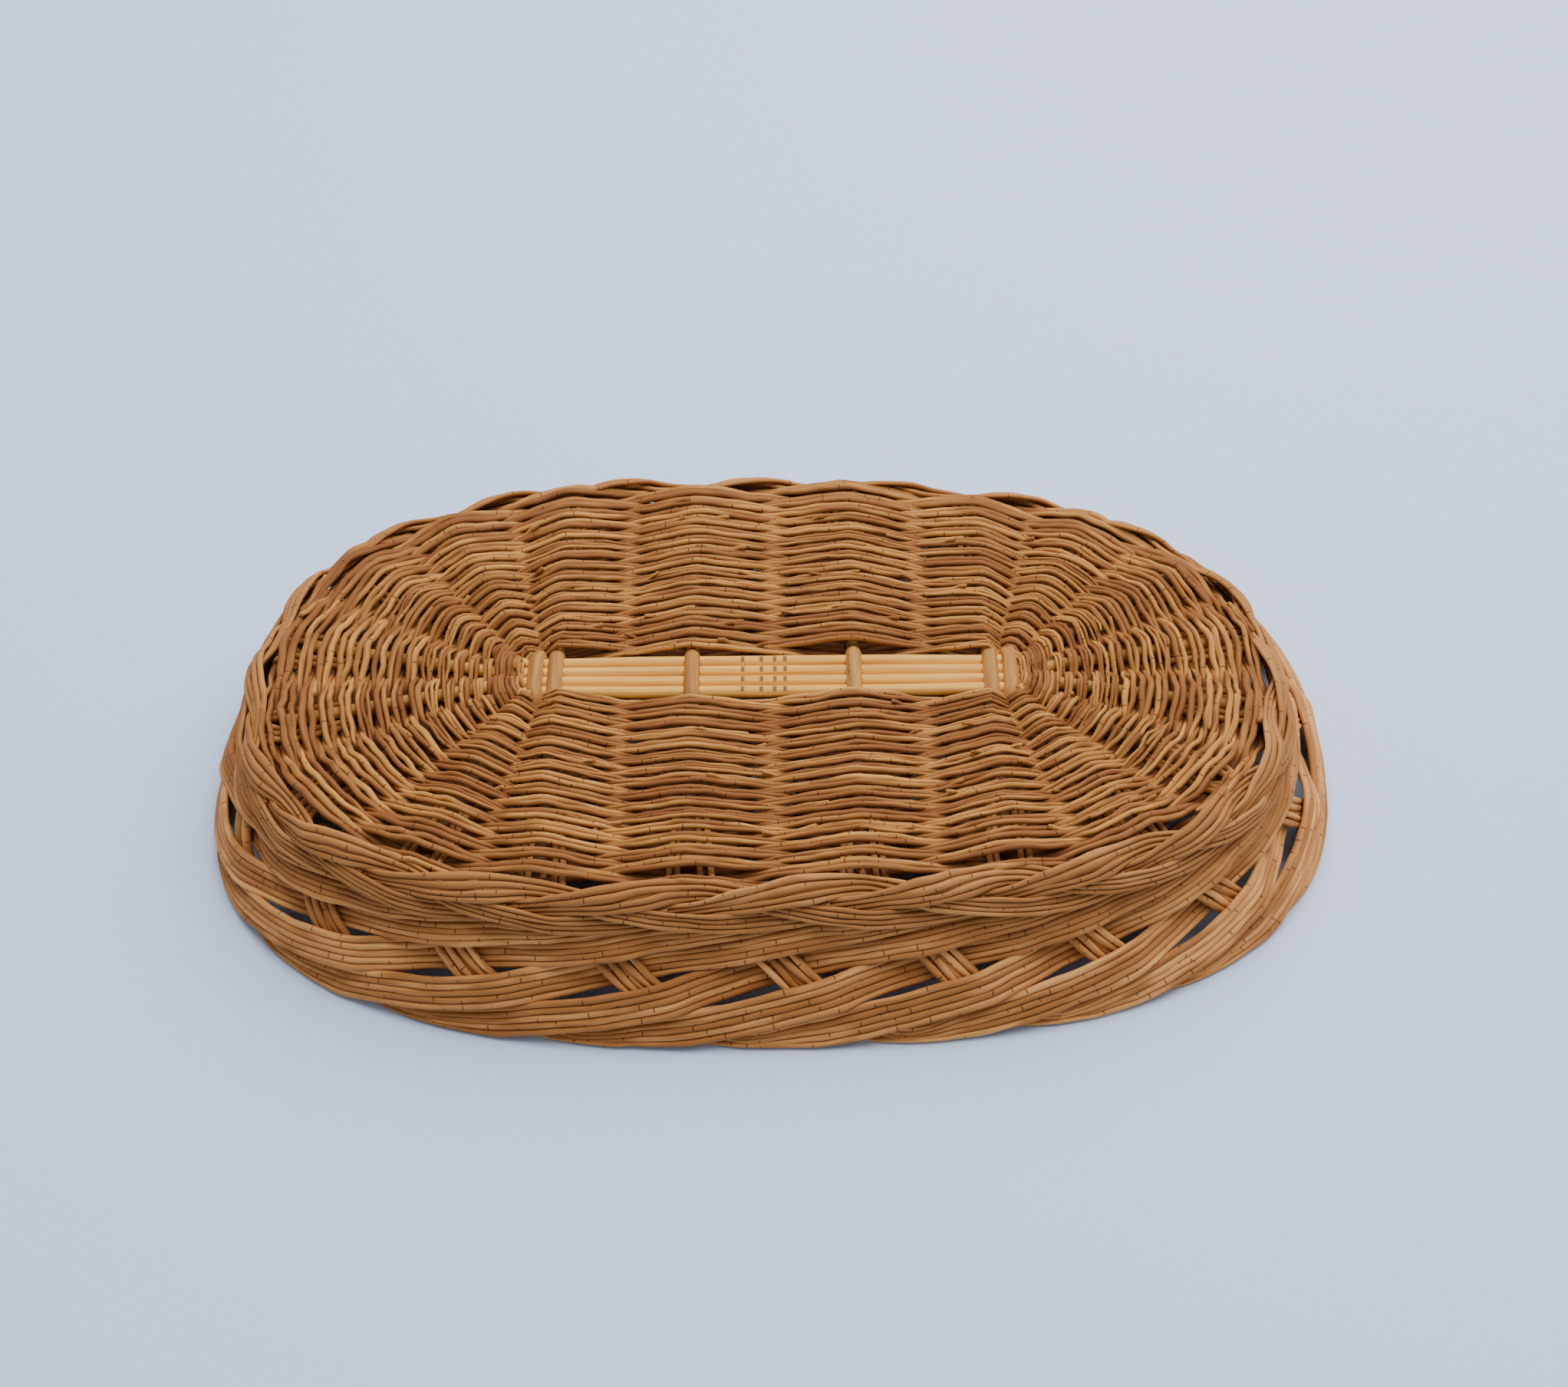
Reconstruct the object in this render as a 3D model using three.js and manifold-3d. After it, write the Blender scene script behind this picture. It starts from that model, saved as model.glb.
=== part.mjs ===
// Oval wicker basket, lying upside down on its rim, in millimetres with +Z up.
// +X runs along the long side, +Y away from the viewer, and z = 0 is the rim's resting plane.
// Twenty groups of willow rods start beside the twenty ribs of the base, go down to the rim,
// roll round it, sweep up along the outside and end as the plaited foot ring.
import * as THREE from 'three';
import { mergeVertices } from 'three/addons/utils/BufferGeometryUtils.js';
import Module from 'manifold-3d';

const wasm = await Module();
wasm.setup();

// Driving dimensions, in millimetres
const rimHalfLength = 197.4;
const rimHalfWidth = 127.0;
const rimFullness = 2.56;
const baseHalfLength = 163.0;
const baseHalfWidth = 99.2;
const baseFullness = 2.47;
const sideHeight = 48.3;
const rimLineHeight = 0.5;
const footTopHeight = 52.3;
const shoulderRadius = 7.0;
const shoulderSetback = 1.5;
const bandThickness = 2.2;
const bandClearance = 0.45;
const groupCount = 20;

// The hand-made oval's slow waves, as radial offsets in millimetres for one, two and three
// waves round the oval: cosine then sine
const rimWaves = [2.2, 0.4, 1.35, 2.0, 0, 0];
const baseWaves = [-1.7, 0.5, 7.0, 0, 1.1, -1.5];

// The groups stand further apart along the viewer's side than round the ends: slow waves in their
// places along the side, in millimetres for one and two waves round it: cosine then sine
const spacingWaves = [0.3, 2.8, 3.65, 4.75];

// Base: stick sizes, the bare middle and the woven rings
const stickHalfWidth = 2.3;
const longStickHalfWidth = 2.2;
const longStickPitch = 4.9;
const longStickHalfHeight = 2.1;
const crossStickHalfHeight = 2.3;
const slitWallHeight = 1.5;
const crossStickHalfWidth = 2.7;
const stickClearance = 0.35;
const baseMiddleHeight = 47.4;
const weaveRidgeHalfHeight = 4.6;
const weaveValleyHalfHeight = 1.7;
const ridgeHalfWidth = 2.8;
const narrowestValley = 2.5;
const fanReach = 83;
const bareOverrun = 10;
const bareHalfWidth = 12.4;
const ringGap = 0.5;
const ringCount = 3;
const weaveEdgeSetback = 1.1;
const stickEndSetback = 2.2;
const crossPairPitch = 7;
const leftPairShift = 1;
const rightPairShift = 6;
const middleCrossShares = [-0.325, 0.3875];
// Where the end ribs point, in degrees from the viewer's side, round the fan centres
const rightFanDegrees = [31.5, 55, 79, 101, 125, 153];
const leftFanDegrees = [23, 53.5, 77, 102, 131, 155];

// One group's course. Each row: place along the side in group spacings, place down the side as a
// share of its depth, half width in group spacings, thickness share, and the layer of the band's
// two edges in band thicknesses, positive outward
const courseShares = [
  [-0.531, -0.002, 0.0577, 0.818, -0.679, -0.679],
  [-0.4739, 0.0587, 0.0646, 0.818, -0.823, -0.821],
  [-0.3378, 0.1644, 0.0742, 0.818, -0.958, -0.936],
  [-0.2158, 0.2826, 0.0882, 0.875, -1.797, -1.201],
  [-0.0996, 0.4062, 0.096, 0.948, -1.021, -0.538],
  [0.0202, 0.5266, 0.0997, 0.996, -0.208, 0.123],
  [0.1408, 0.6464, 0.0991, 1, -0.014, -0.099],
  [0.2673, 0.7612, 0.0956, 1, -0.621, -0.753],
  [0.4088, 0.8607, 0.0877, 1, -0.647, -0.656],
  [0.5699, 0.9323, 0.0684, 1, -0.486, -0.486],
  [0.7459, 0.9635, 0.0537, 1, -0.217, -0.198],
  [0.9241, 0.9508, 0.0592, 1, -0.022, 0.072],
  [1.1013, 0.9256, 0.0773, 1, 0.149, 0.277],
  [1.2792, 0.9065, 0.0945, 1, 0.306, 0.412],
  [1.4555, 0.878, 0.1015, 1, 0.553, 0.562],
  [1.6312, 0.8461, 0.1019, 1, 0.672, 0.708],
  [1.8067, 0.8132, 0.1019, 1, 0.793, 0.889],
  [1.9806, 0.7746, 0.1019, 1, 0.952, 1.068],
  [2.1545, 0.7354, 0.1019, 1, 1.037, 1.234],
  [2.3283, 0.6961, 0.1019, 1, 0.968, 1.366],
  [2.5013, 0.6539, 0.1019, 1, 0.221, 0.271],
  [2.6743, 0.6121, 0.1011, 1, -0.706, -0.472],
  [2.8475, 0.5704, 0.0994, 1, -1.511, -1.024],
  [3.021, 0.53, 0.0968, 1, -1.535, -1.156],
  [3.1959, 0.4949, 0.0925, 1, -1.215, -1.038],
  [3.3723, 0.4666, 0.0871, 0.991, -0.611, -0.516],
  [3.5498, 0.4445, 0.0827, 0.91, -0.158, 0.119],
  [3.7278, 0.4256, 0.0827, 0.909, -0.012, 0.398],
  [3.9056, 0.4058, 0.0826, 0.905, -0.123, 0.72],
  [4.0829, 0.3827, 0.0813, 0.838, -0.309, 0.804],
  [4.2602, 0.3593, 0.0777, 0.783, -0.498, 0.195],
  [4.4375, 0.3363, 0.0708, 0.737, 0.514, 0.563],
  [4.6148, 0.3127, 0.0646, 0.7, 0.899, 0.883],
  [4.7918, 0.2879, 0.0595, 0.665, 0.409, 0.809],
  [4.9688, 0.2627, 0.0559, 0.636, 0.137, 0.58],
  [5.1459, 0.238, 0.0542, 0.636, 0.034, 0.367],
  [5.3226, 0.2115, 0.0541, 0.636, 0.244, 0.24],
  [5.4987, 0.1814, 0.0555, 0.636, 0.978, 0.454],
  [5.6742, 0.1487, 0.0566, 0.636, 1.105, 1.02],
  [5.8498, 0.1166, 0.0576, 0.636, 1.835, 2.127],
  [6.0264, 0.0896, 0.0577, 0.636, 1.991, 2.351],
  [6.2043, 0.0703, 0.0577, 0.636, 1.639, 1.918],
  [6.3835, 0.0622, 0.0548, 0.636, 0.843, 0.542],
  [6.5616, 0.0778, 0.0526, 0.636, 0.444, 0.123],
  [6.7364, 0.1147, 0.0519, 0.636, 0.376, 0.329],
  [6.9085, 0.16, 0.0519, 0.636, 1.146, 1.688],
  [7.0816, 0.201, 0.0519, 0.636, 1.579, 1.803],
  [7.2577, 0.2312, 0.0519, 0.636, 1.69, 1.78],
  [7.4355, 0.252, 0.0519, 0.636, 1.612, 1.602],
  [7.6143, 0.2632, 0.0519, 0.636, 1.834, 1.644],
  [7.7935, 0.2647, 0.0519, 0.636, 1.09, 1.504],
  [7.9724, 0.2571, 0.0514, 0.636, 0.89, 1.287],
  [8.1508, 0.2415, 0.0493, 0.636, 0.951, 1.109],
  [8.3282, 0.2191, 0.0462, 0.636, 0.942, 0.939],
];

const willow = new THREE.MeshStandardMaterial({ color: 0xb9834a, roughness: 0.62, metalness: 0 });
const weaveWillow = new THREE.MeshStandardMaterial({ color: 0xb07a3f, roughness: 0.65, metalness: 0 });
const peeledWillow = new THREE.MeshStandardMaterial({ color: 0xd9bd8c, roughness: 0.6, metalness: 0 });

const basket = new THREE.Group();
basket.name = 'oval_wicker_basket';

// A point of a hand-made oval at an eccentric angle
function ovalPoint(halfLength, halfWidth, fullness, waves, angle) {
  const c = Math.cos(angle);
  const s = Math.sin(angle);
  const reach = (Math.abs(c) ** fullness + Math.abs(s) ** fullness) ** (-1 / fullness);
  let wave = 0;
  for (let k = 0; k < waves.length / 2; k += 1) {
    wave += waves[2 * k] * Math.cos((k + 1) * angle) + waves[2 * k + 1] * Math.sin((k + 1) * angle);
  }
  return new THREE.Vector2(c * (halfLength * reach + wave), s * (halfWidth * reach + wave));
}

function ovalOutline(halfLength, halfWidth, fullness, waves, count) {
  const points = [];
  for (let i = 0; i < count; i += 1) {
    const angle = -Math.PI / 2 + (i / count) * 2 * Math.PI;
    points.push(ovalPoint(halfLength, halfWidth, fullness, waves, angle));
  }
  return points;
}

// The end ribs fan out from a point at a set distance inside each end of the base
const fanCentre = baseHalfLength - fanReach;
const bareHalfLength = fanCentre + bareOverrun;
const crossStickPlaces = [
  -fanCentre - leftPairShift,
  -fanCentre - leftPairShift + crossPairPitch,
  fanCentre * middleCrossShares[0],
  fanCentre * middleCrossShares[1],
  fanCentre + rightPairShift - crossPairPitch,
  fanCentre + rightPairShift,
];

const outlineCount = 1440;
const baseOutline = ovalOutline(baseHalfLength, baseHalfWidth, baseFullness, baseWaves, outlineCount);
const rimOutline = ovalOutline(rimHalfLength, rimHalfWidth, rimFullness, rimWaves, outlineCount);
const middleOutline = baseOutline.map((point, i) => point.clone().add(rimOutline[i]).multiplyScalar(0.5));

// Distance along a ray from a point to a closed outline, on the side the direction points to, or
// either way to the nearest crossing, which is negative where it lies behind
function distanceToOutline(origin, direction, outline, eitherWay = false) {
  let best = Infinity;
  for (let i = 0; i < outline.length; i += 1) {
    const a = outline[i];
    const b = outline[(i + 1) % outline.length];
    const ex = b.x - a.x;
    const ey = b.y - a.y;
    const cross = direction.x * ey - direction.y * ex;
    if (Math.abs(cross) > 1e-12) {
      const ax = a.x - origin.x;
      const ay = a.y - origin.y;
      const along = (ax * ey - ay * ex) / cross;
      const share = (ax * direction.y - ay * direction.x) / cross;
      const ahead = eitherWay || along > 0;
      if (share >= 0 && share <= 1 && ahead && Math.abs(along) < Math.abs(best)) {
        best = along;
      }
    }
  }
  return best;
}

// The middle line of the side, evenly stepped, with its outward direction and the distances
// from it in to the base edge and out to the rim
const sideStepCount = 480;
const lengthSoFar = [0];
for (let i = 0; i < outlineCount; i += 1) {
  const next = middleOutline[(i + 1) % outlineCount];
  lengthSoFar.push(lengthSoFar[i] + middleOutline[i].distanceTo(next));
}
const middleLength = lengthSoFar[outlineCount];
const groupSpacing = middleLength / groupCount;

function pointAlongMiddle(distance) {
  const wrapped = ((distance % middleLength) + middleLength) % middleLength;
  let low = 0;
  let high = outlineCount;
  while (high - low > 1) {
    const half = Math.floor((low + high) / 2);
    if (lengthSoFar[half] <= wrapped) {
      low = half;
    } else {
      high = half;
    }
  }
  const share = (wrapped - lengthSoFar[low]) / (lengthSoFar[low + 1] - lengthSoFar[low]);
  return middleOutline[low].clone().lerp(middleOutline[(low + 1) % outlineCount], share);
}

const sideSteps = [];
for (let i = 0; i < sideStepCount; i += 1) {
  const place = (i / sideStepCount) * middleLength;
  const reach = middleLength / 160;
  const point = pointAlongMiddle(place);
  const along = pointAlongMiddle(place + reach).sub(pointAlongMiddle(place - reach)).normalize();
  const outward = new THREE.Vector2(along.y, -along.x);
  const inward = outward.clone().negate();
  sideSteps.push({
    point,
    outward,
    toBase: distanceToOutline(point, inward, baseOutline, true),
    toRim: distanceToOutline(point, outward, rimOutline, true),
  });
}

const baseEdgeHeight = sideHeight - shoulderRadius;
const shoulderAngle = 1.085;
const shoulderDepth = shoulderRadius * shoulderAngle;
const footSetOut = shoulderSetback + shoulderRadius * Math.sin(shoulderAngle);
const footHeight = baseEdgeHeight + shoulderRadius * Math.cos(shoulderAngle);
const sideDepth = shoulderDepth + Math.hypot(footHeight - rimLineHeight, 23.5);

// A point of the side: distance along its middle line in evenly spaced groups, distance down its
// profile from the base edge, and layer height outward; with the outward direction there
function sidePoint(along, down, layer) {
  const turnRound = (along / middleLength) * 2 * Math.PI;
  let moved = along;
  for (let k = 0; k < spacingWaves.length / 2; k += 1) {
    moved += spacingWaves[2 * k] * Math.cos((k + 1) * turnRound);
    moved += spacingWaves[2 * k + 1] * Math.sin((k + 1) * turnRound);
  }
  const wrapped = (((moved / middleLength) % 1) + 1) % 1;
  const position = wrapped * sideStepCount;
  const low = Math.floor(position) % sideStepCount;
  const high = (low + 1) % sideStepCount;
  const share = position - Math.floor(position);
  const a = sideSteps[low];
  const b = sideSteps[high];
  const point = a.point.clone().lerp(b.point, share);
  const outward = a.outward.clone().lerp(b.outward, share).normalize();
  const toBase = a.toBase + (b.toBase - a.toBase) * share;
  const toRim = a.toRim + (b.toRim - a.toRim) * share;
  let offset;
  let height;
  let normalOut;
  let normalUp;
  if (down < 0) {
    offset = -toBase + shoulderSetback + down;
    height = sideHeight;
    normalOut = 0;
    normalUp = 1;
  } else if (down < shoulderDepth) {
    const turn = down / shoulderRadius;
    offset = -toBase + shoulderSetback + shoulderRadius * Math.sin(turn);
    height = baseEdgeHeight + shoulderRadius * Math.cos(turn);
    normalOut = Math.sin(turn);
    normalUp = Math.cos(turn);
  } else {
    const footOffset = -toBase + footSetOut;
    const part = (down - shoulderDepth) / (sideDepth - shoulderDepth);
    const run = toRim - footOffset;
    const drop = footHeight - rimLineHeight;
    const slope = Math.hypot(run, drop);
    offset = footOffset + run * part;
    height = footHeight - drop * part;
    const blend = Math.min(1, (down - shoulderDepth) / shoulderRadius);
    normalOut = Math.sin(shoulderAngle) + (drop / slope - Math.sin(shoulderAngle)) * blend;
    normalUp = Math.cos(shoulderAngle) + (run / slope - Math.cos(shoulderAngle)) * blend;
  }
  const normal = new THREE.Vector3(outward.x * normalOut, outward.y * normalOut, normalUp).normalize();
  const place = new THREE.Vector3(point.x + outward.x * offset, point.y + outward.y * offset, height);
  place.addScaledVector(normal, layer);
  return { place, normal };
}

// A closed solid through a row of same-sized convex rings of points
function solidFromRings(rings) {
  const size = rings[0].length;
  const positions = [];
  for (const ring of rings) {
    for (const point of ring) {
      positions.push(point.x, point.y, point.z);
    }
  }
  const triangles = [];
  for (let i = 0; i + 1 < rings.length; i += 1) {
    for (let j = 0; j < size; j += 1) {
      const a = i * size + j;
      const b = i * size + ((j + 1) % size);
      const c = a + size;
      const d = b + size;
      triangles.push(a, b, d, a, d, c);
    }
  }
  const last = (rings.length - 1) * size;
  for (let j = 1; j + 1 < size; j += 1) {
    triangles.push(0, j + 1, j);
    triangles.push(last, last + j, last + j + 1);
  }
  const geometry = new THREE.BufferGeometry();
  geometry.setAttribute('position', new THREE.Float32BufferAttribute(positions, 3));
  geometry.setIndex(triangles);
  return geometry;
}

function toSolid(geometry) {
  const bare = geometry.clone();
  bare.deleteAttribute('normal');
  bare.deleteAttribute('uv');
  const merged = mergeVertices(bare, 1e-4);
  return new wasm.Manifold(
    new wasm.Mesh({
      numProp: 3,
      vertProperties: new Float32Array(merged.attributes.position.array),
      triVerts: new Uint32Array(merged.index.array),
    }),
  );
}

function fromSolid(solid) {
  const mesh = solid.getMesh();
  const geometry = new THREE.BufferGeometry();
  geometry.setAttribute('position', new THREE.Float32BufferAttribute(mesh.vertProperties, 3));
  geometry.setIndex(Array.from(mesh.triVerts));
  return geometry;
}

function addPiece(name, geometry, material) {
  geometry.computeVertexNormals();
  const mesh = new THREE.Mesh(geometry, material.clone());
  mesh.name = name;
  basket.add(mesh);
}

// Slabs that cut the rim and the foot ring flat where the basket can rest
const slabReach = 3 * rimHalfLength;
const slabDepth = sideHeight;
function slabBetween(bottom) {
  const box = new THREE.BoxGeometry(slabReach, slabReach, slabDepth);
  box.translate(0, 0, bottom + slabDepth / 2);
  return toSolid(box);
}
const underFloor = slabBetween(-slabDepth);
const overFoot = slabBetween(footTopHeight);

// The twenty groups of side rods, each one band from the base edge to its end in the foot ring
const layerStep = bandThickness + bandClearance;
for (let group = 0; group < groupCount; group += 1) {
  const rings = [];
  for (let i = 0; i < courseShares.length; i += 1) {
    const [alongShare, downShare, widthShare, thicknessShare, firstLayer, secondLayer] = courseShares[i];
    const before = courseShares[Math.max(0, i - 1)];
    const after = courseShares[Math.min(courseShares.length - 1, i + 1)];
    const heading = new THREE.Vector2(
      (after[0] - before[0]) * groupSpacing,
      (after[1] - before[1]) * sideDepth,
    ).normalize();
    const along = (alongShare + group) * groupSpacing;
    const down = downShare * sideDepth;
    const halfWidth = widthShare * groupSpacing;
    const halfThickness = (thicknessShare * bandThickness) / 2;
    const first = sidePoint(along + heading.y * halfWidth, down - heading.x * halfWidth, firstLayer * layerStep);
    const second = sidePoint(along - heading.y * halfWidth, down + heading.x * halfWidth, secondLayer * layerStep);
    rings.push([
      first.place.clone().addScaledVector(first.normal, halfThickness),
      second.place.clone().addScaledVector(second.normal, halfThickness),
      second.place.clone().addScaledVector(second.normal, -halfThickness),
      first.place.clone().addScaledVector(first.normal, -halfThickness),
    ]);
  }
  const band = toSolid(solidFromRings(rings)).subtract(underFloor).subtract(overFoot);
  const label = String(group + 1).padStart(2, '0');
  addPiece(`side_group_${label}`, fromSolid(band), willow);
}

// A stick of six-sided section along a course of stations: x, y, half width, half height
function stickRings(stations, growth) {
  const rings = [];
  for (let i = 0; i < stations.length; i += 1) {
    const before = stations[Math.max(0, i - 1)];
    const after = stations[Math.min(stations.length - 1, i + 1)];
    const heading = new THREE.Vector2(after[0] - before[0], after[1] - before[1]).normalize();
    const [x, y, halfWidth, halfHeight] = stations[i];
    const w = halfWidth + growth;
    const h = halfHeight + growth;
    const ring = [];
    for (const [acrossShare, upShare] of [[1, 0], [0.55, -1], [-0.55, -1], [-1, 0], [-0.55, 1], [0.55, 1]]) {
      ring.push(new THREE.Vector3(
        x + heading.y * w * acrossShare,
        y - heading.x * w * acrossShare,
        baseMiddleHeight + h * upShare,
      ));
    }
    rings.push(ring);
  }
  return rings;
}

function edgeReach(x, y, directionX, directionY) {
  return distanceToOutline(new THREE.Vector2(x, y), new THREE.Vector2(directionX, directionY), baseOutline);
}

// The four long sticks: side by side through the slits, then fanned out at both ends
const longCourses = [];
for (let i = 0; i < 4; i += 1) {
  const sideways = (i - 1.5) * longStickPitch;
  const ends = [];
  for (const [sign, degrees] of [[1, rightFanDegrees[i + 1]], [-1, leftFanDegrees[i + 1]]]) {
    const angle = THREE.MathUtils.degToRad(degrees);
    const directionX = sign * Math.sin(angle);
    const directionY = -Math.cos(angle);
    const startX = sign * fanCentre;
    const reach = edgeReach(startX, 0, directionX, directionY);
    ends.push({ sign, directionX, directionY, startX, reach });
  }
  longCourses.push({ sideways, ends });
}

function longStickStations(course, reachOut) {
  const [right, left] = course.ends;
  const stations = [];
  const fanEnd = (end, along) => [
    end.startX + end.directionX * along,
    end.directionY * along,
    stickHalfWidth,
    stickHalfWidth,
  ];
  const bend = 2 * bareHalfWidth;
  const besideCross = crossStickHalfWidth + stickHalfWidth;
  const straightLeft = crossStickPlaces[0] - besideCross;
  const straightRight = crossStickPlaces[crossStickPlaces.length - 1] + besideCross;
  stations.push(fanEnd(left, left.reach + reachOut));
  stations.push(fanEnd(left, (left.reach + bend) / 2));
  stations.push(fanEnd(left, bend));
  stations.push([straightLeft, course.sideways, longStickHalfWidth, longStickHalfHeight]);
  stations.push([straightRight, course.sideways, longStickHalfWidth, longStickHalfHeight]);
  stations.push(fanEnd(right, bend));
  stations.push(fanEnd(right, (right.reach + bend) / 2));
  stations.push(fanEnd(right, right.reach + reachOut));
  return stations;
}

const slitHalfLength = 1.5 * longStickPitch + longStickHalfWidth + stickClearance;
const slitHalfHeight = longStickHalfHeight + stickClearance;
const slitOuterHalfHeight = slitHalfHeight + slitWallHeight;

// The six cross sticks; the outer one at each end splays out as the first and last rib of its fan
const crossCourses = crossStickPlaces.map((place, index) => {
  const ends = [];
  for (const side of [-1, 1]) {
    let directionX = 0;
    let directionY = side;
    let startX = place;
    let splayed = false;
    if (index === 0 || index === crossStickPlaces.length - 1) {
      const sign = index === 0 ? -1 : 1;
      const fan = index === 0 ? leftFanDegrees : rightFanDegrees;
      const angle = THREE.MathUtils.degToRad(side < 0 ? fan[0] : fan[fan.length - 1]);
      directionX = sign * Math.sin(angle);
      directionY = -Math.cos(angle);
      startX = sign * fanCentre;
      splayed = true;
    }
    const reach = edgeReach(startX, 0, directionX, directionY);
    ends.push({ side, directionX, directionY, startX, reach, splayed });
  }
  return { place, ends };
});

function crossStickStations(course, reachOut) {
  const stations = [];
  const collar = slitHalfLength + stickClearance;
  const start = collar + stickHalfWidth;
  for (const end of course.ends) {
    const half = [];
    const from = end.splayed ? start + 2 * stickHalfWidth : start;
    half.push([end.startX + end.directionX * (end.reach + reachOut), end.directionY * (end.reach + reachOut),
      stickHalfWidth, crossStickHalfHeight]);
    half.push([end.startX + end.directionX * from, end.directionY * from, crossStickHalfWidth, crossStickHalfHeight]);
    half.push([course.place, end.side * collar, crossStickHalfWidth, slitOuterHalfHeight]);
    if (end.side > 0) {
      half.reverse();
    }
    stations.push(...half);
  }
  return stations;
}

const stickInset = -stickEndSetback;
const channelOverrun = stickEndSetback;
const channels = [];
longCourses.forEach((course, index) => {
  const geometry = solidFromRings(stickRings(longStickStations(course, stickInset), 0));
  addPiece(`long_stick_${index + 1}`, geometry, peeledWillow);
  channels.push(toSolid(solidFromRings(stickRings(longStickStations(course, channelOverrun), stickClearance))));
});
const slitBox = new THREE.BoxGeometry(slabReach, 2 * slitHalfLength, 2 * slitHalfHeight);
slitBox.translate(0, 0, baseMiddleHeight);
const slit = toSolid(slitBox);
crossCourses.forEach((course, index) => {
  const stick = toSolid(solidFromRings(stickRings(crossStickStations(course, stickInset), 0)));
  addPiece(`cross_stick_${index + 1}`, fromSolid(stick.subtract(slit)), willow);
  channels.push(toSolid(solidFromRings(stickRings(crossStickStations(course, channelOverrun), stickClearance))));
});

// The woven base, in rings of rows from the bare middle out to the edge, each with the ribs
// running through it
const ringPointCount = 60;
const bareFullness = 5;
const noWaves = [0, 0];
function ringOutline(share) {
  const points = [];
  for (let i = 0; i < ringPointCount; i += 1) {
    const angle = (i / ringPointCount) * 2 * Math.PI;
    const inner = ovalPoint(bareHalfLength, bareHalfWidth, bareFullness, noWaves, angle);
    const outer = ovalPoint(baseHalfLength - weaveEdgeSetback, baseHalfWidth - weaveEdgeSetback, baseFullness,
      baseWaves, angle);
    points.push(inner.lerp(outer, share));
  }
  return points;
}

// The weave stands up in a ridge over each rib and sinks in a valley between one rib and the next
const ribLines = [];
for (const course of longCourses) {
  for (const end of course.ends) {
    const at = (along) => new THREE.Vector2(end.startX + end.directionX * along, end.directionY * along);
    ribLines.push([at(2 * bareHalfWidth), at(end.reach + weaveRidgeHalfHeight)]);
  }
}
for (const course of crossCourses) {
  for (const end of course.ends) {
    const at = (along) => new THREE.Vector2(end.startX + end.directionX * along, end.directionY * along);
    ribLines.push([at(bareHalfWidth - ringGap), at(end.reach + weaveRidgeHalfHeight)]);
  }
}
ribLines.sort((a, b) => Math.atan2(a[1].y, a[1].x) - Math.atan2(b[1].y, b[1].x));

function valleyRing(first, second, share, upward) {
  const a = first[0].clone().lerp(first[1], share);
  const b = second[0].clone().lerp(second[1], share);
  const width = Math.max(a.distanceTo(b) / 2 - ridgeHalfWidth, narrowestValley / 2);
  const depth = weaveRidgeHalfHeight - weaveValleyHalfHeight;
  const lip = ringGap;
  const middle = a.clone().lerp(b, 0.5);
  const sideways = b.clone().sub(a).normalize();
  const ring = [];
  for (const [acrossShare, height] of [[-1, depth], [-1, depth + lip], [1, depth + lip], [1, depth], [0, 0]]) {
    ring.push(new THREE.Vector3(
      middle.x + sideways.x * width * acrossShare,
      middle.y + sideways.y * width * acrossShare,
      baseMiddleHeight + upward * (weaveValleyHalfHeight + height),
    ));
  }
  return upward > 0 ? ring.reverse() : ring;
}

const valleys = [];
ribLines.forEach((first, index) => {
  const second = ribLines[(index + 1) % ribLines.length];
  const startWidth = first[0].distanceTo(second[0]) - 2 * ridgeHalfWidth;
  const endWidth = first[1].distanceTo(second[1]) - 2 * ridgeHalfWidth;
  const start = Math.max(0, (narrowestValley - startWidth) / (endWidth - startWidth));
  for (const upward of [1, -1]) {
    const rings = [start, (start + 1) / 2, 1].map((share) => valleyRing(first, second, share, upward));
    valleys.push(toSolid(solidFromRings(rings)));
  }
});
const ringGapShare = ringGap / (baseHalfWidth - bareHalfWidth);
for (let ring = 0; ring < ringCount; ring += 1) {
  const innerShare = ring / ringCount + (ring === 0 ? 0 : ringGapShare / 2);
  const outerShare = (ring + 1) / ringCount - (ring === ringCount - 1 ? 0 : ringGapShare / 2);
  const shape = new THREE.Shape(ringOutline(outerShare));
  shape.holes.push(new THREE.Path(ringOutline(innerShare)));
  const plate = new THREE.ExtrudeGeometry(shape, { depth: 2 * weaveRidgeHalfHeight, bevelEnabled: false, steps: 1 });
  plate.translate(0, 0, baseMiddleHeight - weaveRidgeHalfHeight);
  let solid = toSolid(plate);
  for (const cut of [...valleys, ...channels]) {
    solid = solid.subtract(cut);
  }
  addPiece(`base_weave_${ring + 1}`, fromSolid(solid), weaveWillow);
}

// The whole basket is moved so that its origin is under the middle of its outline
const outline = new THREE.Box3().setFromObject(basket);
const outlineCentre = outline.getCenter(new THREE.Vector3());
basket.position.set(-outlineCentre.x, -outlineCentre.y, 0);

export default basket;
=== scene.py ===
import math
from types import SimpleNamespace

import bpy
import numpy as np
from mathutils import Matrix


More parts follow.
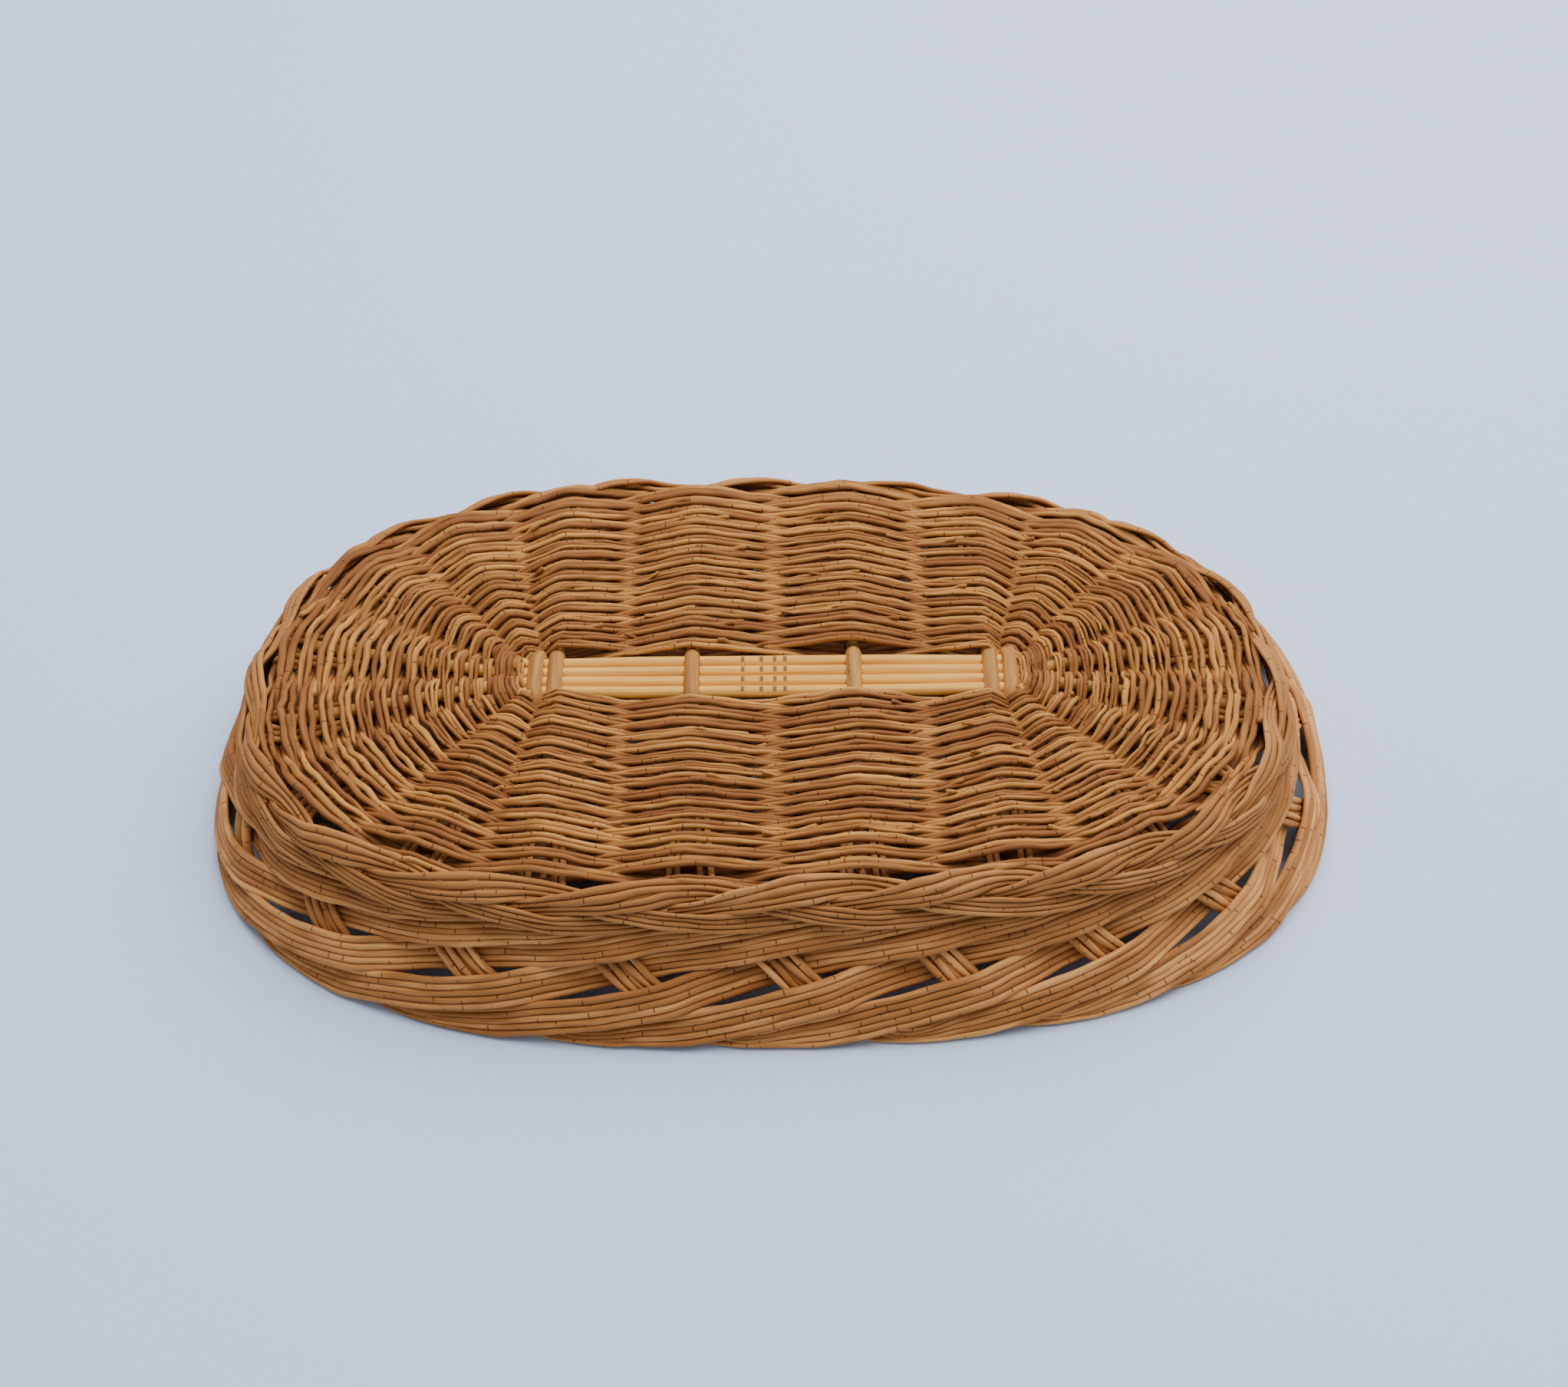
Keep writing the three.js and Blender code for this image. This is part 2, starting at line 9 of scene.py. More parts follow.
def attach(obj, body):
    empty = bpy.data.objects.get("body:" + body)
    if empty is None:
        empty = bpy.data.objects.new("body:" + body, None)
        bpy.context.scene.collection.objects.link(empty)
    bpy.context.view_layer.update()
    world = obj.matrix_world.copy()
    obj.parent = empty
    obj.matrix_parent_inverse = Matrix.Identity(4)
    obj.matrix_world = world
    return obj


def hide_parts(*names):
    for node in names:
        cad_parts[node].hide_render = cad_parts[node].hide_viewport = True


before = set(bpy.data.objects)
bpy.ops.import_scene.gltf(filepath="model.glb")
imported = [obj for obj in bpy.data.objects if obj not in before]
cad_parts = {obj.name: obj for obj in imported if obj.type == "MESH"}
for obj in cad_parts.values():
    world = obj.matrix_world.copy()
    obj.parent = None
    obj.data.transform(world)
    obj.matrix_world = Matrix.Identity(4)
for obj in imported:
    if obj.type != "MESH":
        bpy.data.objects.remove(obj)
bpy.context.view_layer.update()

bl_info = {
    "name": "Oval wicker basket",
    "version": (1, 0, 0),
    "blender": (4, 5, 0),
    "location": "View3D > Sidebar > Wicker basket",
    "description": "Weaves an upturned oval willow basket over its fixed frame",
    "category": "Object",
}

# Sizes are in millimetres in the tables below, and in metres everywhere else in Blender
MM = 0.001

# Places along the long sticks, from the middle, where each has a dark notch
STICK_MARKS = (-10.6, -4.0, 0.7, 4.3)

# How far the whole basket is moved, so that its box is centred
CENTRE = np.array([-2.068, -0.755, 0.0])

# The basket's outlines, as in the frame and before that move: half sizes, fullness and slow waves
RIM_OVAL = (197.4, 127.0, 2.56, (2.2, 0.4, 1.35, 2.0, 0.0, 0.0))
BASE_OVAL = (163.0, 99.2, 2.47, (-1.7, 0.5, 7.0, 0.0, 1.1, -1.5))
BARE_OVAL = (87.6, 11.4, 5.0, (0.0, 0.0))
BARE_CENTRE = 2.0
SPACING_WAVES = (0.3, 2.8, 3.65, 4.75)
SIDE_HEIGHT = 48.3
RIM_LINE_HEIGHT = 0.5
SHOULDER_RADIUS = 7.0
SHOULDER_SETBACK = 1.5
SHOULDER_ANGLE = 1.085
SIDE_SLANT = 23.5
GROUP_COUNT = 20
BAND_THICKNESS = 2.2
BAND_LAYER = 2.65
OUTLINE_COUNT = 1440
SIDE_STEPS = 480

# The base, as in the frame
BASE_MIDDLE_HEIGHT = 47.4
FAN_CENTRE = 80.0
LONG_STICK_PITCH = 4.9
CROSS_STICK_PLACES = (-81.0, -74.0, -26.0, 31.0, 79.0, 86.0)
RIGHT_FAN_DEGREES = (31.5, 55.0, 79.0, 101.0, 125.0, 153.0)
LEFT_FAN_DEGREES = (23.0, 53.5, 77.0, 102.0, 131.0, 155.0)
WEAVE_EDGE_REACH = 4.6
WEAVE_TOP = 52.6

# One side group's course, as in the frame. Each row: place along the side in group spacings,
# place down the side as a share of its depth, half width in group spacings, thickness share,
# and the layers of the band's two edges in band thicknesses, positive outward
GROUP_COURSE = (
    (-0.531, -0.002, 0.0577, 0.818, -0.679, -0.679),
    (-0.4739, 0.0587, 0.0646, 0.818, -0.823, -0.821),
    (-0.3378, 0.1644, 0.0742, 0.818, -0.958, -0.936),
    (-0.2158, 0.2826, 0.0882, 0.875, -1.797, -1.201),
    (-0.0996, 0.4062, 0.096, 0.948, -1.021, -0.538),
    (0.0202, 0.5266, 0.0997, 0.996, -0.208, 0.123),
    (0.1408, 0.6464, 0.0991, 1, -0.014, -0.099),
    (0.2673, 0.7612, 0.0956, 1, -0.621, -0.753),
    (0.4088, 0.8607, 0.0877, 1, -0.647, -0.656),
    (0.5699, 0.9323, 0.0684, 1, -0.486, -0.486),
    (0.7459, 0.9635, 0.0537, 1, -0.217, -0.198),
    (0.9241, 0.9508, 0.0592, 1, -0.022, 0.072),
    (1.1013, 0.9256, 0.0773, 1, 0.149, 0.277),
    (1.2792, 0.9065, 0.0945, 1, 0.306, 0.412),
    (1.4555, 0.878, 0.1015, 1, 0.553, 0.562),
    (1.6312, 0.8461, 0.1019, 1, 0.672, 0.708),
    (1.8067, 0.8132, 0.1019, 1, 0.793, 0.889),
    (1.9806, 0.7746, 0.1019, 1, 0.952, 1.068),
    (2.1545, 0.7354, 0.1019, 1, 1.037, 1.234),
    (2.3283, 0.6961, 0.1019, 1, 0.968, 1.366),
    (2.5013, 0.6539, 0.1019, 1, 0.221, 0.271),
    (2.6743, 0.6121, 0.1011, 1, -0.706, -0.472),
    (2.8475, 0.5704, 0.0994, 1, -1.511, -1.024),
    (3.021, 0.53, 0.0968, 1, -1.535, -1.156),
    (3.1959, 0.4949, 0.0925, 1, -1.215, -1.038),
    (3.3723, 0.4666, 0.0871, 0.991, -0.611, -0.516),
    (3.5498, 0.4445, 0.0827, 0.91, -0.158, 0.119),
    (3.7278, 0.4256, 0.0827, 0.909, -0.012, 0.398),
    (3.9056, 0.4058, 0.0826, 0.905, -0.123, 0.72),
    (4.0829, 0.3827, 0.0813, 0.838, -0.309, 0.804),
    (4.2602, 0.3593, 0.0777, 0.783, -0.498, 0.195),
    (4.4375, 0.3363, 0.0708, 0.737, 0.514, 0.563),
    (4.6148, 0.3127, 0.0646, 0.7, 0.899, 0.883),
    (4.7918, 0.2879, 0.0595, 0.665, 0.409, 0.809),
    (4.9688, 0.2627, 0.0559, 0.636, 0.137, 0.58),
    (5.1459, 0.238, 0.0542, 0.636, 0.034, 0.367),
    (5.3226, 0.2115, 0.0541, 0.636, 0.244, 0.24),
    (5.4987, 0.1814, 0.0555, 0.636, 0.978, 0.454),
    (5.6742, 0.1487, 0.0566, 0.636, 1.105, 1.02),
    (5.8498, 0.1166, 0.0576, 0.636, 1.835, 2.127),
    (6.0264, 0.0896, 0.0577, 0.636, 1.991, 2.351),
    (6.2043, 0.0703, 0.0577, 0.636, 1.639, 1.918),
    (6.3835, 0.0622, 0.0548, 0.636, 0.843, 0.542),
    (6.5616, 0.0778, 0.0526, 0.636, 0.444, 0.123),
    (6.7364, 0.1147, 0.0519, 0.636, 0.376, 0.329),
    (6.9085, 0.16, 0.0519, 0.636, 1.146, 1.688),
    (7.0816, 0.201, 0.0519, 0.636, 1.579, 1.803),
    (7.2577, 0.2312, 0.0519, 0.636, 1.69, 1.78),
    (7.4355, 0.252, 0.0519, 0.636, 1.612, 1.602),
    (7.6143, 0.2632, 0.0519, 0.636, 1.834, 1.644),
    (7.7935, 0.2647, 0.0519, 0.636, 1.09, 1.504),
    (7.9724, 0.2571, 0.0514, 0.636, 0.89, 1.287),
    (8.1508, 0.2415, 0.0493, 0.636, 0.951, 1.109),
    (8.3282, 0.2191, 0.0462, 0.636, 0.942, 0.939),
)

# The end fans: their side of the middle, where their ribs point, and their outer cross stick's place
RIGHT_FAN = (1, RIGHT_FAN_DEGREES, CROSS_STICK_PLACES[-1])
LEFT_FAN = (-1, LEFT_FAN_DEGREES, CROSS_STICK_PLACES[0])
# Where ribs start beside the long sticks, and how far from the fan's centre they bend
RIB_START = 5.0
OUTER_RIB_BEND = 17.0
FAN_BEND = 24.8
# A long stick's straight middle, and how far past the outer cross stick it stays straight
STICK_STRAIGHT = 40.0
PAST_CROSS_STICK = 5.0
# A cross stick's bend into its fan, and its thick middle
SPLAY_BEND = 28.0
CROSS_STICK_STRAIGHT = (13.0, 6.5)
CROSS_STICK_MIDDLE = 13.0
CROSS_STICK_SWELL = (0.95, 1.9)
# How far sticks end short of the base's edge, and cross sticks sink under the weave, the outer two first
STICK_SHORTFALL = 4.5
CROSS_STICK_SINKING = (3.4, 1.4)
STICK_RINGS = 90

# Where a group's rods leave the base, in millimetres beside their rib
STAKE_OFFSETS = (-6.0, -3.3, 0.8, 4.6, 7.8)
# A rod's start under the weaving: distances in from the edge, with the share of its offset that it has there
STAKE_TAIL = ((26.0, 0.8), (18.0, 0.85), (10.0, 0.95), (4.0, 1.0))
STAKE_SINKING = 1.4
STAKE_RINGS = 13
# The step in which the base's edge is searched for the end of a group's rib
EDGE_STEP = 0.5
# How deep the middle rod of a group lies behind the others: at the base, on the bridge, in the foot ring
BEHIND_AT_BASE = 3.4
BEHIND_ON_BRIDGE = 1.9
BEHIND_IN_FOOT_RING = 0.9

# How a group's rods lie: each table has rows of the group's course, and the values there. The foot
# ring's crest and the sweeps lie a little lower or higher than the frame's bands
CREST_LOWERED = ((37, 38, 39, 40, 41, 42, 43, 44, 45, 46, 47, 48, 50),
                 (0, 0.5, 1.0, 1.4, 1.6, 1.4, 0.6, -0.1, -0.4, -0.5, -0.4, -0.3, 0))
SWEEP_LOWERED = ((13, 15, 17, 20, 22, 24, 26, 29), (0, -0.4, -0.2, 0.1, 0.5, 1.0, 0.8, 0))
# Rod thickness and spread: thin and apart on the bridges, thick and touching in the sweeps, bunched at
# the rim, thin and flat in the foot ring
ROD_SHARE = ((0, 4, 6.5, 24, 34, 53), (0.84, 0.84, 1.0, 1.0, 0.72, 0.58))
BAND_WIDENING = ((0, 10, 12, 15, 18, 21, 24, 27, 30, 34, 37, 46, 53),
                 (1.15, 1.15, 1.17, 1.2, 1.18, 1.22, 1.28, 1.2, 1.2, 1.25, 1.2, 1.2, 1.25))
ON_BRIDGE = ((2, 3.5, 5, 6.5), (0, 1, 1, 0))
STANDING_FREE = ((5, 6.5), (1, 0))
IN_FOOT_RING = ((30, 36), (0, 1))
LAYER_SHARE = ((0, 36, 40, 53), (1.0, 1.0, 0.8, 0.8))
COURSE_RINGS = 196
# The rows of a group's start, and the depth in which it comes out from beside its rib
EMERGING_ROWS = 8
EMERGING_DEPTH = 22
# How wide rods side by side are drawn, as a share of the space they have: touching in the sweeps,
# and a little apart in the foot ring
TOUCHING = 1.02
LOOSE = 0.94
# The half width that a pressed rod may have: in the sweeps, then in the foot ring
NARROWEST = (0.8, 0.6)
WIDEST = (2.2, 1.6)
# Half the gap between a group's outer rods on its bridge
BRIDGE_SPREAD = 4.4

# Neighbouring ribs that are woven as pairs where they lie close together, for each end by the first of
# the two in rib_lines, and the lift of a weaver over ribs as close as that
PAIRED_RIBS = ((1, 3), (7, 9))
PAIRING = 8.5
LOWEST_LIFT = 3.2
# The gap between ribs at which a weaver lifts more, and how much wider one is where it lifts fully
LIFTING_GAPS = (9, 14)
# The most rounding of a weaver's bend over a rib
RIB_ROUNDING = 2.2
# The first rows, which all pass over the pairs
ROWS_OVER_PAIRS = 5
# Rows: how uneven they are, the looser last three, and how much closer they lie at the base's ends
ROW_STEPS = (0.9, 1.1)
LAST_ROW_STEPS = (1.1, 1.2, 0.9)
END_CROWDING = 0.24
# Weavers: the range of their lengths, how far they overlap at a join, and the length between their rings
WEAVER_LENGTHS = (250, 400)
WEAVER_OVERLAP = 9
WEAVER_STEP = 2.2
# How far cut ends stand up out of the weave, and over which length
TIP_LIFTS = (0.4, 1.7, 2.7)
TIP_LENGTH = 5
# How far from the middle the ends of the base start, and over which length
BASE_ENDS = (95, 25)
# How much lower the last row lies along the viewer's side and along the far side, and how far out there
LAST_ROW_LOWERED = 2.6
FAR_LOWERED = 0.6
FAR_SET_OUT = 1.6

# Starts of the seeded randomness; the last one is of what all weavers of a row have alike
STEP_SEED = 41
GROUP_SEED = 100
ROD_SEED = 1000
WEAVER_SEED = 5000
ROW_SEED = 7000

# The camera, measured from the photograph's perspective, before the basket is centred
CAMERA_PLACE = (7.475, -610.004, 658.491)
CAMERA_RIGHT = (0.99995724, -0.00558378, -0.00737088)
CAMERA_UP = (0.00915007, 0.71264125, 0.70146897)
CAMERA_BACK = (0.00133594, -0.70150643, 0.71266188)
CAMERA_LENS = 56.36
CAMERA_SENSOR = 36.0

# The large soft light, in metres
KEY_LIGHT_PLACE = (0.3, 0.5, 1.4)
KEY_LIGHT_SIZE = 1.9


def linear(colour):
    """An sRGB hex colour as Blender's linear values"""
    values = [int(colour.lstrip("#")[i:i + 2], 16) / 255 for i in (0, 2, 4)]
    return [v / 12.92 if v <= 0.04045 else ((v + 0.055) / 1.055) ** 2.4 for v in values] + [1.0]


def length(name, default, description):
    return bpy.props.FloatProperty(
        name=name, default=default, description=description, unit="LENGTH", subtype="DISTANCE")


def hex_colour(name, default, description):
    return bpy.props.FloatVectorProperty(
        name=name, default=linear(default), description=description, size=4, min=0, max=1, subtype="COLOR")


class BasketSizes(bpy.types.PropertyGroup):
    rods_in_group: bpy.props.IntProperty(
        name="Rods in a group", default=5, min=2, max=6, description="Willow rods side by side in each group")
    rod_diameter: length("Rod diameter", 2.7 * MM, "Thickness of a side rod low on the side")
    weaver_diameter: length("Weaver diameter", 2.1 * MM, "Thickness of the rods woven through the base")
    weave_height: length("Weave height", 4.8 * MM, "How far the weavers rise over the ribs")
    weaver_rows: bpy.props.IntProperty(
        name="Weaver rows", default=32, min=6, description="Rows of weaving from the bare middle to the edge")
    stick_diameter: length("Stick diameter", 4.6 * MM, "Thickness of the base's long sticks")


class BasketColours(bpy.types.PropertyGroup):
    # The side rods' colours are the willow's own, made lighter than the weavers' as painted light, to make up
    # for the dimmer light on the basket's sides
    rod_light: hex_colour("Rod, light", "#EFAC64", "Buff willow at its lightest")
    rod_dark: hex_colour("Rod, dark", "#A0622C", "Buff willow at its darkest")
    weaver_light: hex_colour("Weaver, light", "#D2944A", "Base weavers at their lightest")
    weaver_dark: hex_colour("Weaver, dark", "#7E4820", "Base weavers at their darkest")
    weathered: hex_colour("Weathered rods", "#9E6834", "Browner, duller willow in the foot ring")
    node_mark: hex_colour("Bud scars", "#4A2710", "Dark scars and notches")
    # Painted shade: the weavers darken to this where they run under a rib
    crevice_shade: hex_colour("Crevice stain", "#52240A", "Dust and stain where a weaver runs under")
    peeled: hex_colour("Peeled willow", "#F2B552", "White willow of the long sticks")
    peeled_dark: hex_colour("Peeled willow, dark", "#D09040", "Darkest grain of the long sticks")
    # Painted shade: the long sticks darken to this where they run under the weaving
    long_stick_shade: hex_colour("Long stick stain", "#7E4E22", "Long sticks under the weaving")
    cross_stick: hex_colour("Cross stick", "#BC8640", "Half-peeled willow of the cross sticks")
    cross_dark: hex_colour("Cross stick, dark", "#96622C", "Darkest grain of the cross sticks")
    # Painted shade: the cross sticks darken to this where they run under the weaving
    cross_stick_shade: hex_colour("Cross stick stain", "#6A3E1C", "Cross sticks under the weaving")


class StageSettings(bpy.types.PropertyGroup):
    floor_colour: hex_colour("Floor", "#D0E1FE", "Plain pale floor")
    floor_shade: hex_colour("Floor, shaded", "#BBC9DC", "Faint patches on the floor")
    floor_size: length("Floor size", 12.0, "Width of the floor")
    key_power: bpy.props.FloatProperty(
        name="Key light", default=50.0, unit="POWER", description="Strength of the large soft light")
    world_colour: hex_colour("World colour", "#E8EDF2", "Colour of the even light all round")
    world_strength: bpy.props.FloatProperty(
        name="World light", default=0.46, description="Strength of the even light all round")


# Geometry of the side and the base, in millimetres

def unit(vectors):
    return vectors / np.linalg.norm(vectors, axis=1, keepdims=True)


def to_the_right(ahead):
    """The way out from an outline that is followed anticlockwise"""
    return np.stack([ahead[:, 1], -ahead[:, 0]], -1)


def oval_points(oval, angles):
    half_length, half_width, fullness, waves = oval
    c = np.cos(angles)
    s = np.sin(angles)
    reach = (np.abs(c) ** fullness + np.abs(s) ** fullness) ** (-1.0 / fullness)
    wave = np.zeros_like(angles)
    for k in range(len(waves) // 2):
        wave = wave + waves[2 * k] * np.cos((k + 1) * angles) + waves[2 * k + 1] * np.sin((k + 1) * angles)
    return np.stack([c * (half_length * reach + wave), s * (half_width * reach + wave)], -1)


def meetings(origin, direction, outline):
    """Where a line and each edge of a closed outline meet, as shares of the line's direction and the edge"""
    edge = np.roll(outline, -1, axis=0) - outline
    cross = direction[0] * edge[:, 1] - direction[1] * edge[:, 0]
    cross = np.where(np.abs(cross) < 1e-12, 1e-12, cross)
    to_edge = outline - origin
    on_line = (to_edge[:, 0] * edge[:, 1] - to_edge[:, 1] * edge[:, 0]) / cross
    on_edge = (to_edge[:, 0] * direction[1] - to_edge[:, 1] * direction[0]) / cross
    return on_line, on_edge


def distance_to_outline(origin, direction, outline):
    """Distance from a point to a closed outline along a direction, to the nearest crossing ahead"""
    on_line, on_edge = meetings(origin, direction, outline)
    return on_line[(on_edge >= 0) & (on_edge <= 1) & (on_line > 0)].min()


def closed_line(points):
    """A closed line's points, with the first again at the end, and the distance along it to each"""
    closed = np.vstack([points, points[:1]])
    return closed, np.r_[0, np.cumsum(np.hypot(*np.diff(closed, axis=0).T))]


def point_along(closed, lengths, distance):
    wrapped = np.mod(distance, lengths[-1])
    return np.stack([np.interp(wrapped, lengths, closed[:, axis]) for axis in (0, 1)], -1)


def build_side():
    """The side's middle line in even steps, with the way out and the distances to both edges"""
    angles = -math.pi / 2 + np.arange(OUTLINE_COUNT) / OUTLINE_COUNT * 2 * math.pi
    base = oval_points(BASE_OVAL, angles)
    rim = oval_points(RIM_OVAL, angles)
    middle, lengths = closed_line((base + rim) / 2)
    total = lengths[-1]
    places = np.arange(SIDE_STEPS) / SIDE_STEPS * total
    reach = total / 160
    points = point_along(middle, lengths, places)
    ahead = point_along(middle, lengths, places + reach) - point_along(middle, lengths, places - reach)
    outward = to_the_right(unit(ahead))
    to_base = np.array([distance_to_outline(p, -o, base) for p, o in zip(points, outward)])
    to_rim = np.array([distance_to_outline(p, o, rim) for p, o in zip(points, outward)])
    return {"length": total, "points": points, "outward": outward, "to_base": to_base, "to_rim": to_rim,
            "base": base}


SIDE = build_side()
GROUP_SPACING = SIDE["length"] / GROUP_COUNT
FOOT_HEIGHT = SIDE_HEIGHT - SHOULDER_RADIUS + SHOULDER_RADIUS * math.cos(SHOULDER_ANGLE)
FOOT_SET_OUT = SHOULDER_SETBACK + SHOULDER_RADIUS * math.sin(SHOULDER_ANGLE)
SHOULDER_DEPTH = SHOULDER_RADIUS * SHOULDER_ANGLE
SIDE_DEPTH = SHOULDER_DEPTH + math.hypot(FOOT_HEIGHT - RIM_LINE_HEIGHT, SIDE_SLANT)


def side_points(along, down, layer):
    """Places on the side, from distance along it, distance down it and height outward"""
    turn_round = along / SIDE["length"] * 2 * math.pi
    moved = along
    for k in range(len(SPACING_WAVES) // 2):
        moved = moved + SPACING_WAVES[2 * k] * np.cos((k + 1) * turn_round)
        moved = moved + SPACING_WAVES[2 * k + 1] * np.sin((k + 1) * turn_round)
    position = np.mod(moved / SIDE["length"], 1.0) * SIDE_STEPS
    low = np.floor(position).astype(int) % SIDE_STEPS
    high = (low + 1) % SIDE_STEPS
    share = position - np.floor(position)
    point, outward, to_base, to_rim = [(SIDE[key][low].T * (1 - share) + SIDE[key][high].T * share).T
                                       for key in ("points", "outward", "to_base", "to_rim")]
    outward = unit(outward)
    turn = np.clip(down, 0, SHOULDER_DEPTH) / SHOULDER_RADIUS
    part = np.maximum(down - SHOULDER_DEPTH, 0) / (SIDE_DEPTH - SHOULDER_DEPTH)
    run = to_rim + to_base - FOOT_SET_OUT
    drop = FOOT_HEIGHT - RIM_LINE_HEIGHT
    slope = np.hypot(run, drop)
    offset = -to_base + SHOULDER_SETBACK + SHOULDER_RADIUS * np.sin(turn) + np.minimum(down, 0) + run * part
    height = SIDE_HEIGHT - SHOULDER_RADIUS + SHOULDER_RADIUS * np.cos(turn) - drop * part
    straight = np.clip((down - SHOULDER_DEPTH) / SHOULDER_RADIUS, 0, 1)
    normal_out = np.sin(turn) + (drop / slope - math.sin(SHOULDER_ANGLE)) * straight
    normal_up = np.cos(turn) + (run / slope - math.cos(SHOULDER_ANGLE)) * straight
    normal = unit(np.column_stack([outward * normal_out[:, None], normal_up]))
    place = np.column_stack([point + outward * offset[:, None], height])
    return place + normal * layer[:, None], normal


def slow_noise(distance, chance, wavelength):
    """A smooth wander between about -1 and 1 along a distance, different for each rod"""
    wander = np.zeros_like(distance)
    for octave in range(4):
        phase = chance.uniform(0, 2 * math.pi)
        stretch = chance.uniform(0.6, 1.7)
        wander = wander + np.sin(distance / wavelength * stretch * 2 * math.pi * (1 + 0.45 * octave) + phase)
    return wander / 2.4


def smooth_step(share):
    """A smooth step from 0 to 1"""
    share = np.clip(share, 0, 1)
    return share * share * (3 - 2 * share)


def smooth_rows(rows, places):
    """A smooth curve through the rows of a table, read at places given in rows"""
    table = np.array(rows, float)
    last = len(table) - 1
    low = np.clip(np.floor(places).astype(int), 0, last - 1)
    t = (places - low)[:, None]
    before = table[np.clip(low - 1, 0, last)]
    start = table[low]
    end = table[low + 1]
    after = table[np.clip(low + 2, 0, last)]
    lean_start = (end - before) / 2
    lean_end = (after - start) / 2
    return ((2 * t ** 3 - 3 * t ** 2 + 1) * start + (t ** 3 - 2 * t ** 2 + t) * lean_start
            + (-2 * t ** 3 + 3 * t ** 2) * end + (t ** 3 - t ** 2) * lean_end)


# Modelling helpers

def deselect_all():
    bpy.ops.object.select_all(action="DESELECT")


STRAIGHT_RODS = {}
# The most cuts that the subdivide operator makes at once
MOST_CUTS = 100
# Values at each vertex of a rod that its material reads
ROD_ATTRIBUTES = ("tone", "weathering_and_shade")


def straight_rod(rings, corners):
    """A straight rod along X, a unit long for each step of its course, ringed all along and with its cut
    ends eased, modelled once a size"""
    key = (rings, corners)
    if key in STRAIGHT_RODS:
        return STRAIGHT_RODS[key]
    deselect_all()
    bpy.ops.mesh.primitive_cylinder_add(vertices=corners, radius=1, depth=rings - 1, end_fill_type="NGON",
                                        location=(0, 0, 0), rotation=(0, math.pi / 2, 0))
    rod = bpy.context.object
    bpy.ops.object.transform_apply(location=False, rotation=True, scale=True)
    # A long rod is cut across in two goes, because the operator makes only so many cuts at once
    for cuts in (rings - 2,) if rings - 2 <= MOST_CUTS else (3, (rings - 1) // 4 - 1):
        bpy.ops.object.mode_set(mode="EDIT")
        bpy.ops.mesh.select_mode(type="EDGE")
        bpy.ops.mesh.select_all(action="DESELECT")
        bpy.ops.object.mode_set(mode="OBJECT")
        for edge in rod.data.edges:
            a, b = (rod.data.vertices[i].co.x for i in edge.vertices)
            edge.select = abs(a - b) > 1
        bpy.ops.object.mode_set(mode="EDIT")
        bpy.ops.mesh.subdivide(number_cuts=cuts)
    bpy.ops.mesh.select_all(action="DESELECT")
    bpy.ops.object.mode_set(mode="OBJECT")
    for face in rod.data.polygons:
        face.select = len(face.vertices) == corners and abs(face.normal.x) > 0.9
    bpy.ops.object.mode_set(mode="EDIT")
    bpy.ops.mesh.select_mode(type="FACE")
    bpy.ops.mesh.inset(thickness=0.3, depth=0.22)
    bpy.ops.object.mode_set(mode="OBJECT")
    bpy.ops.object.shade_smooth()
    mesh = rod.data
    bpy.data.objects.remove(rod)
    count = len(mesh.vertices)
    co = np.empty(count * 3)
    mesh.vertices.foreach_get("co", co)
    STRAIGHT_RODS[key] = (mesh, co.reshape(-1, 3))
    return STRAIGHT_RODS[key]


def bent_rod(name, places, normals, half_width, half_height, tone, weathering_and_shade, start=0.0, corners=8):
    """A copy of the straight rod bent along a course in code, because no curve operator keeps a
    flattened section turned to the side. Its map holds the distance along it and the way round it"""
    rings = len(places)
    template, co = straight_rod(rings, corners)
    mesh = template.copy()
    mesh.name = name
    tangent = unit(np.gradient(places, axis=0))
    across = unit(np.cross(tangent, normals))
    outward = np.cross(across, tangent)
    position = co[:, 0] + (rings - 1) / 2
    station = np.clip(position, 0, rings - 1)
    beyond = position - station

    def at_vertices(values):
        """A course's values, in three columns, read at each of the rod's vertices"""
        columns = np.broadcast_to(np.asarray(values, float).T, (3, rings))
        return np.column_stack([np.interp(station, np.arange(rings), column) for column in columns])

    width = at_vertices(half_width)
    spot = (at_vertices(places)
            + at_vertices(tangent) * beyond[:, None] * width
            + at_vertices(across) * co[:, 1:2] * width
            + at_vertices(outward) * co[:, 2:3] * at_vertices(half_height))
    mesh.vertices.foreach_set("co", ((spot + CENTRE) * MM).ravel())
    lengths = np.r_[0, np.cumsum(np.linalg.norm(np.diff(places, axis=0), axis=1))] * MM + start
    loops = np.empty(len(mesh.loops), int)
    mesh.loops.foreach_get("vertex_index", loops)
    turn = np.mod(np.arctan2(co[:, 1], -co[:, 2]) / (2 * math.pi) + 1.0, 1.0)[loops]
    faces = np.empty(len(mesh.polygons), int)
    mesh.polygons.foreach_get("loop_total", faces)
    # A face across the seam takes the map on past one whole turn
    owner = np.repeat(np.arange(len(faces)), faces)
    widest = np.zeros(len(faces))
    np.maximum.at(widest, owner, turn)
    turn = np.where((widest[owner] - turn) > 0.5, turn + 1.0, turn)
    uv = mesh.uv_layers.get("Rod") or mesh.uv_layers.new(name="Rod")
    uv.data.foreach_set("uv", np.stack([at_vertices(lengths)[loops, 0], turn], -1).ravel())
    # The cut ends show the paler wood inside
    tones = np.where(np.abs(beyond) > 0.1, 1.0, tone)
    for label, values in zip(ROD_ATTRIBUTES, (tones, at_vertices(weathering_and_shade)[:, 0])):
        attribute = mesh.attributes.new(label, "FLOAT", "POINT")
        attribute.data.foreach_set("value", np.ascontiguousarray(values, float))
    mesh.update()
    rod = bpy.data.objects.new(name, mesh)
    bpy.context.scene.collection.objects.link(rod)
    return rod


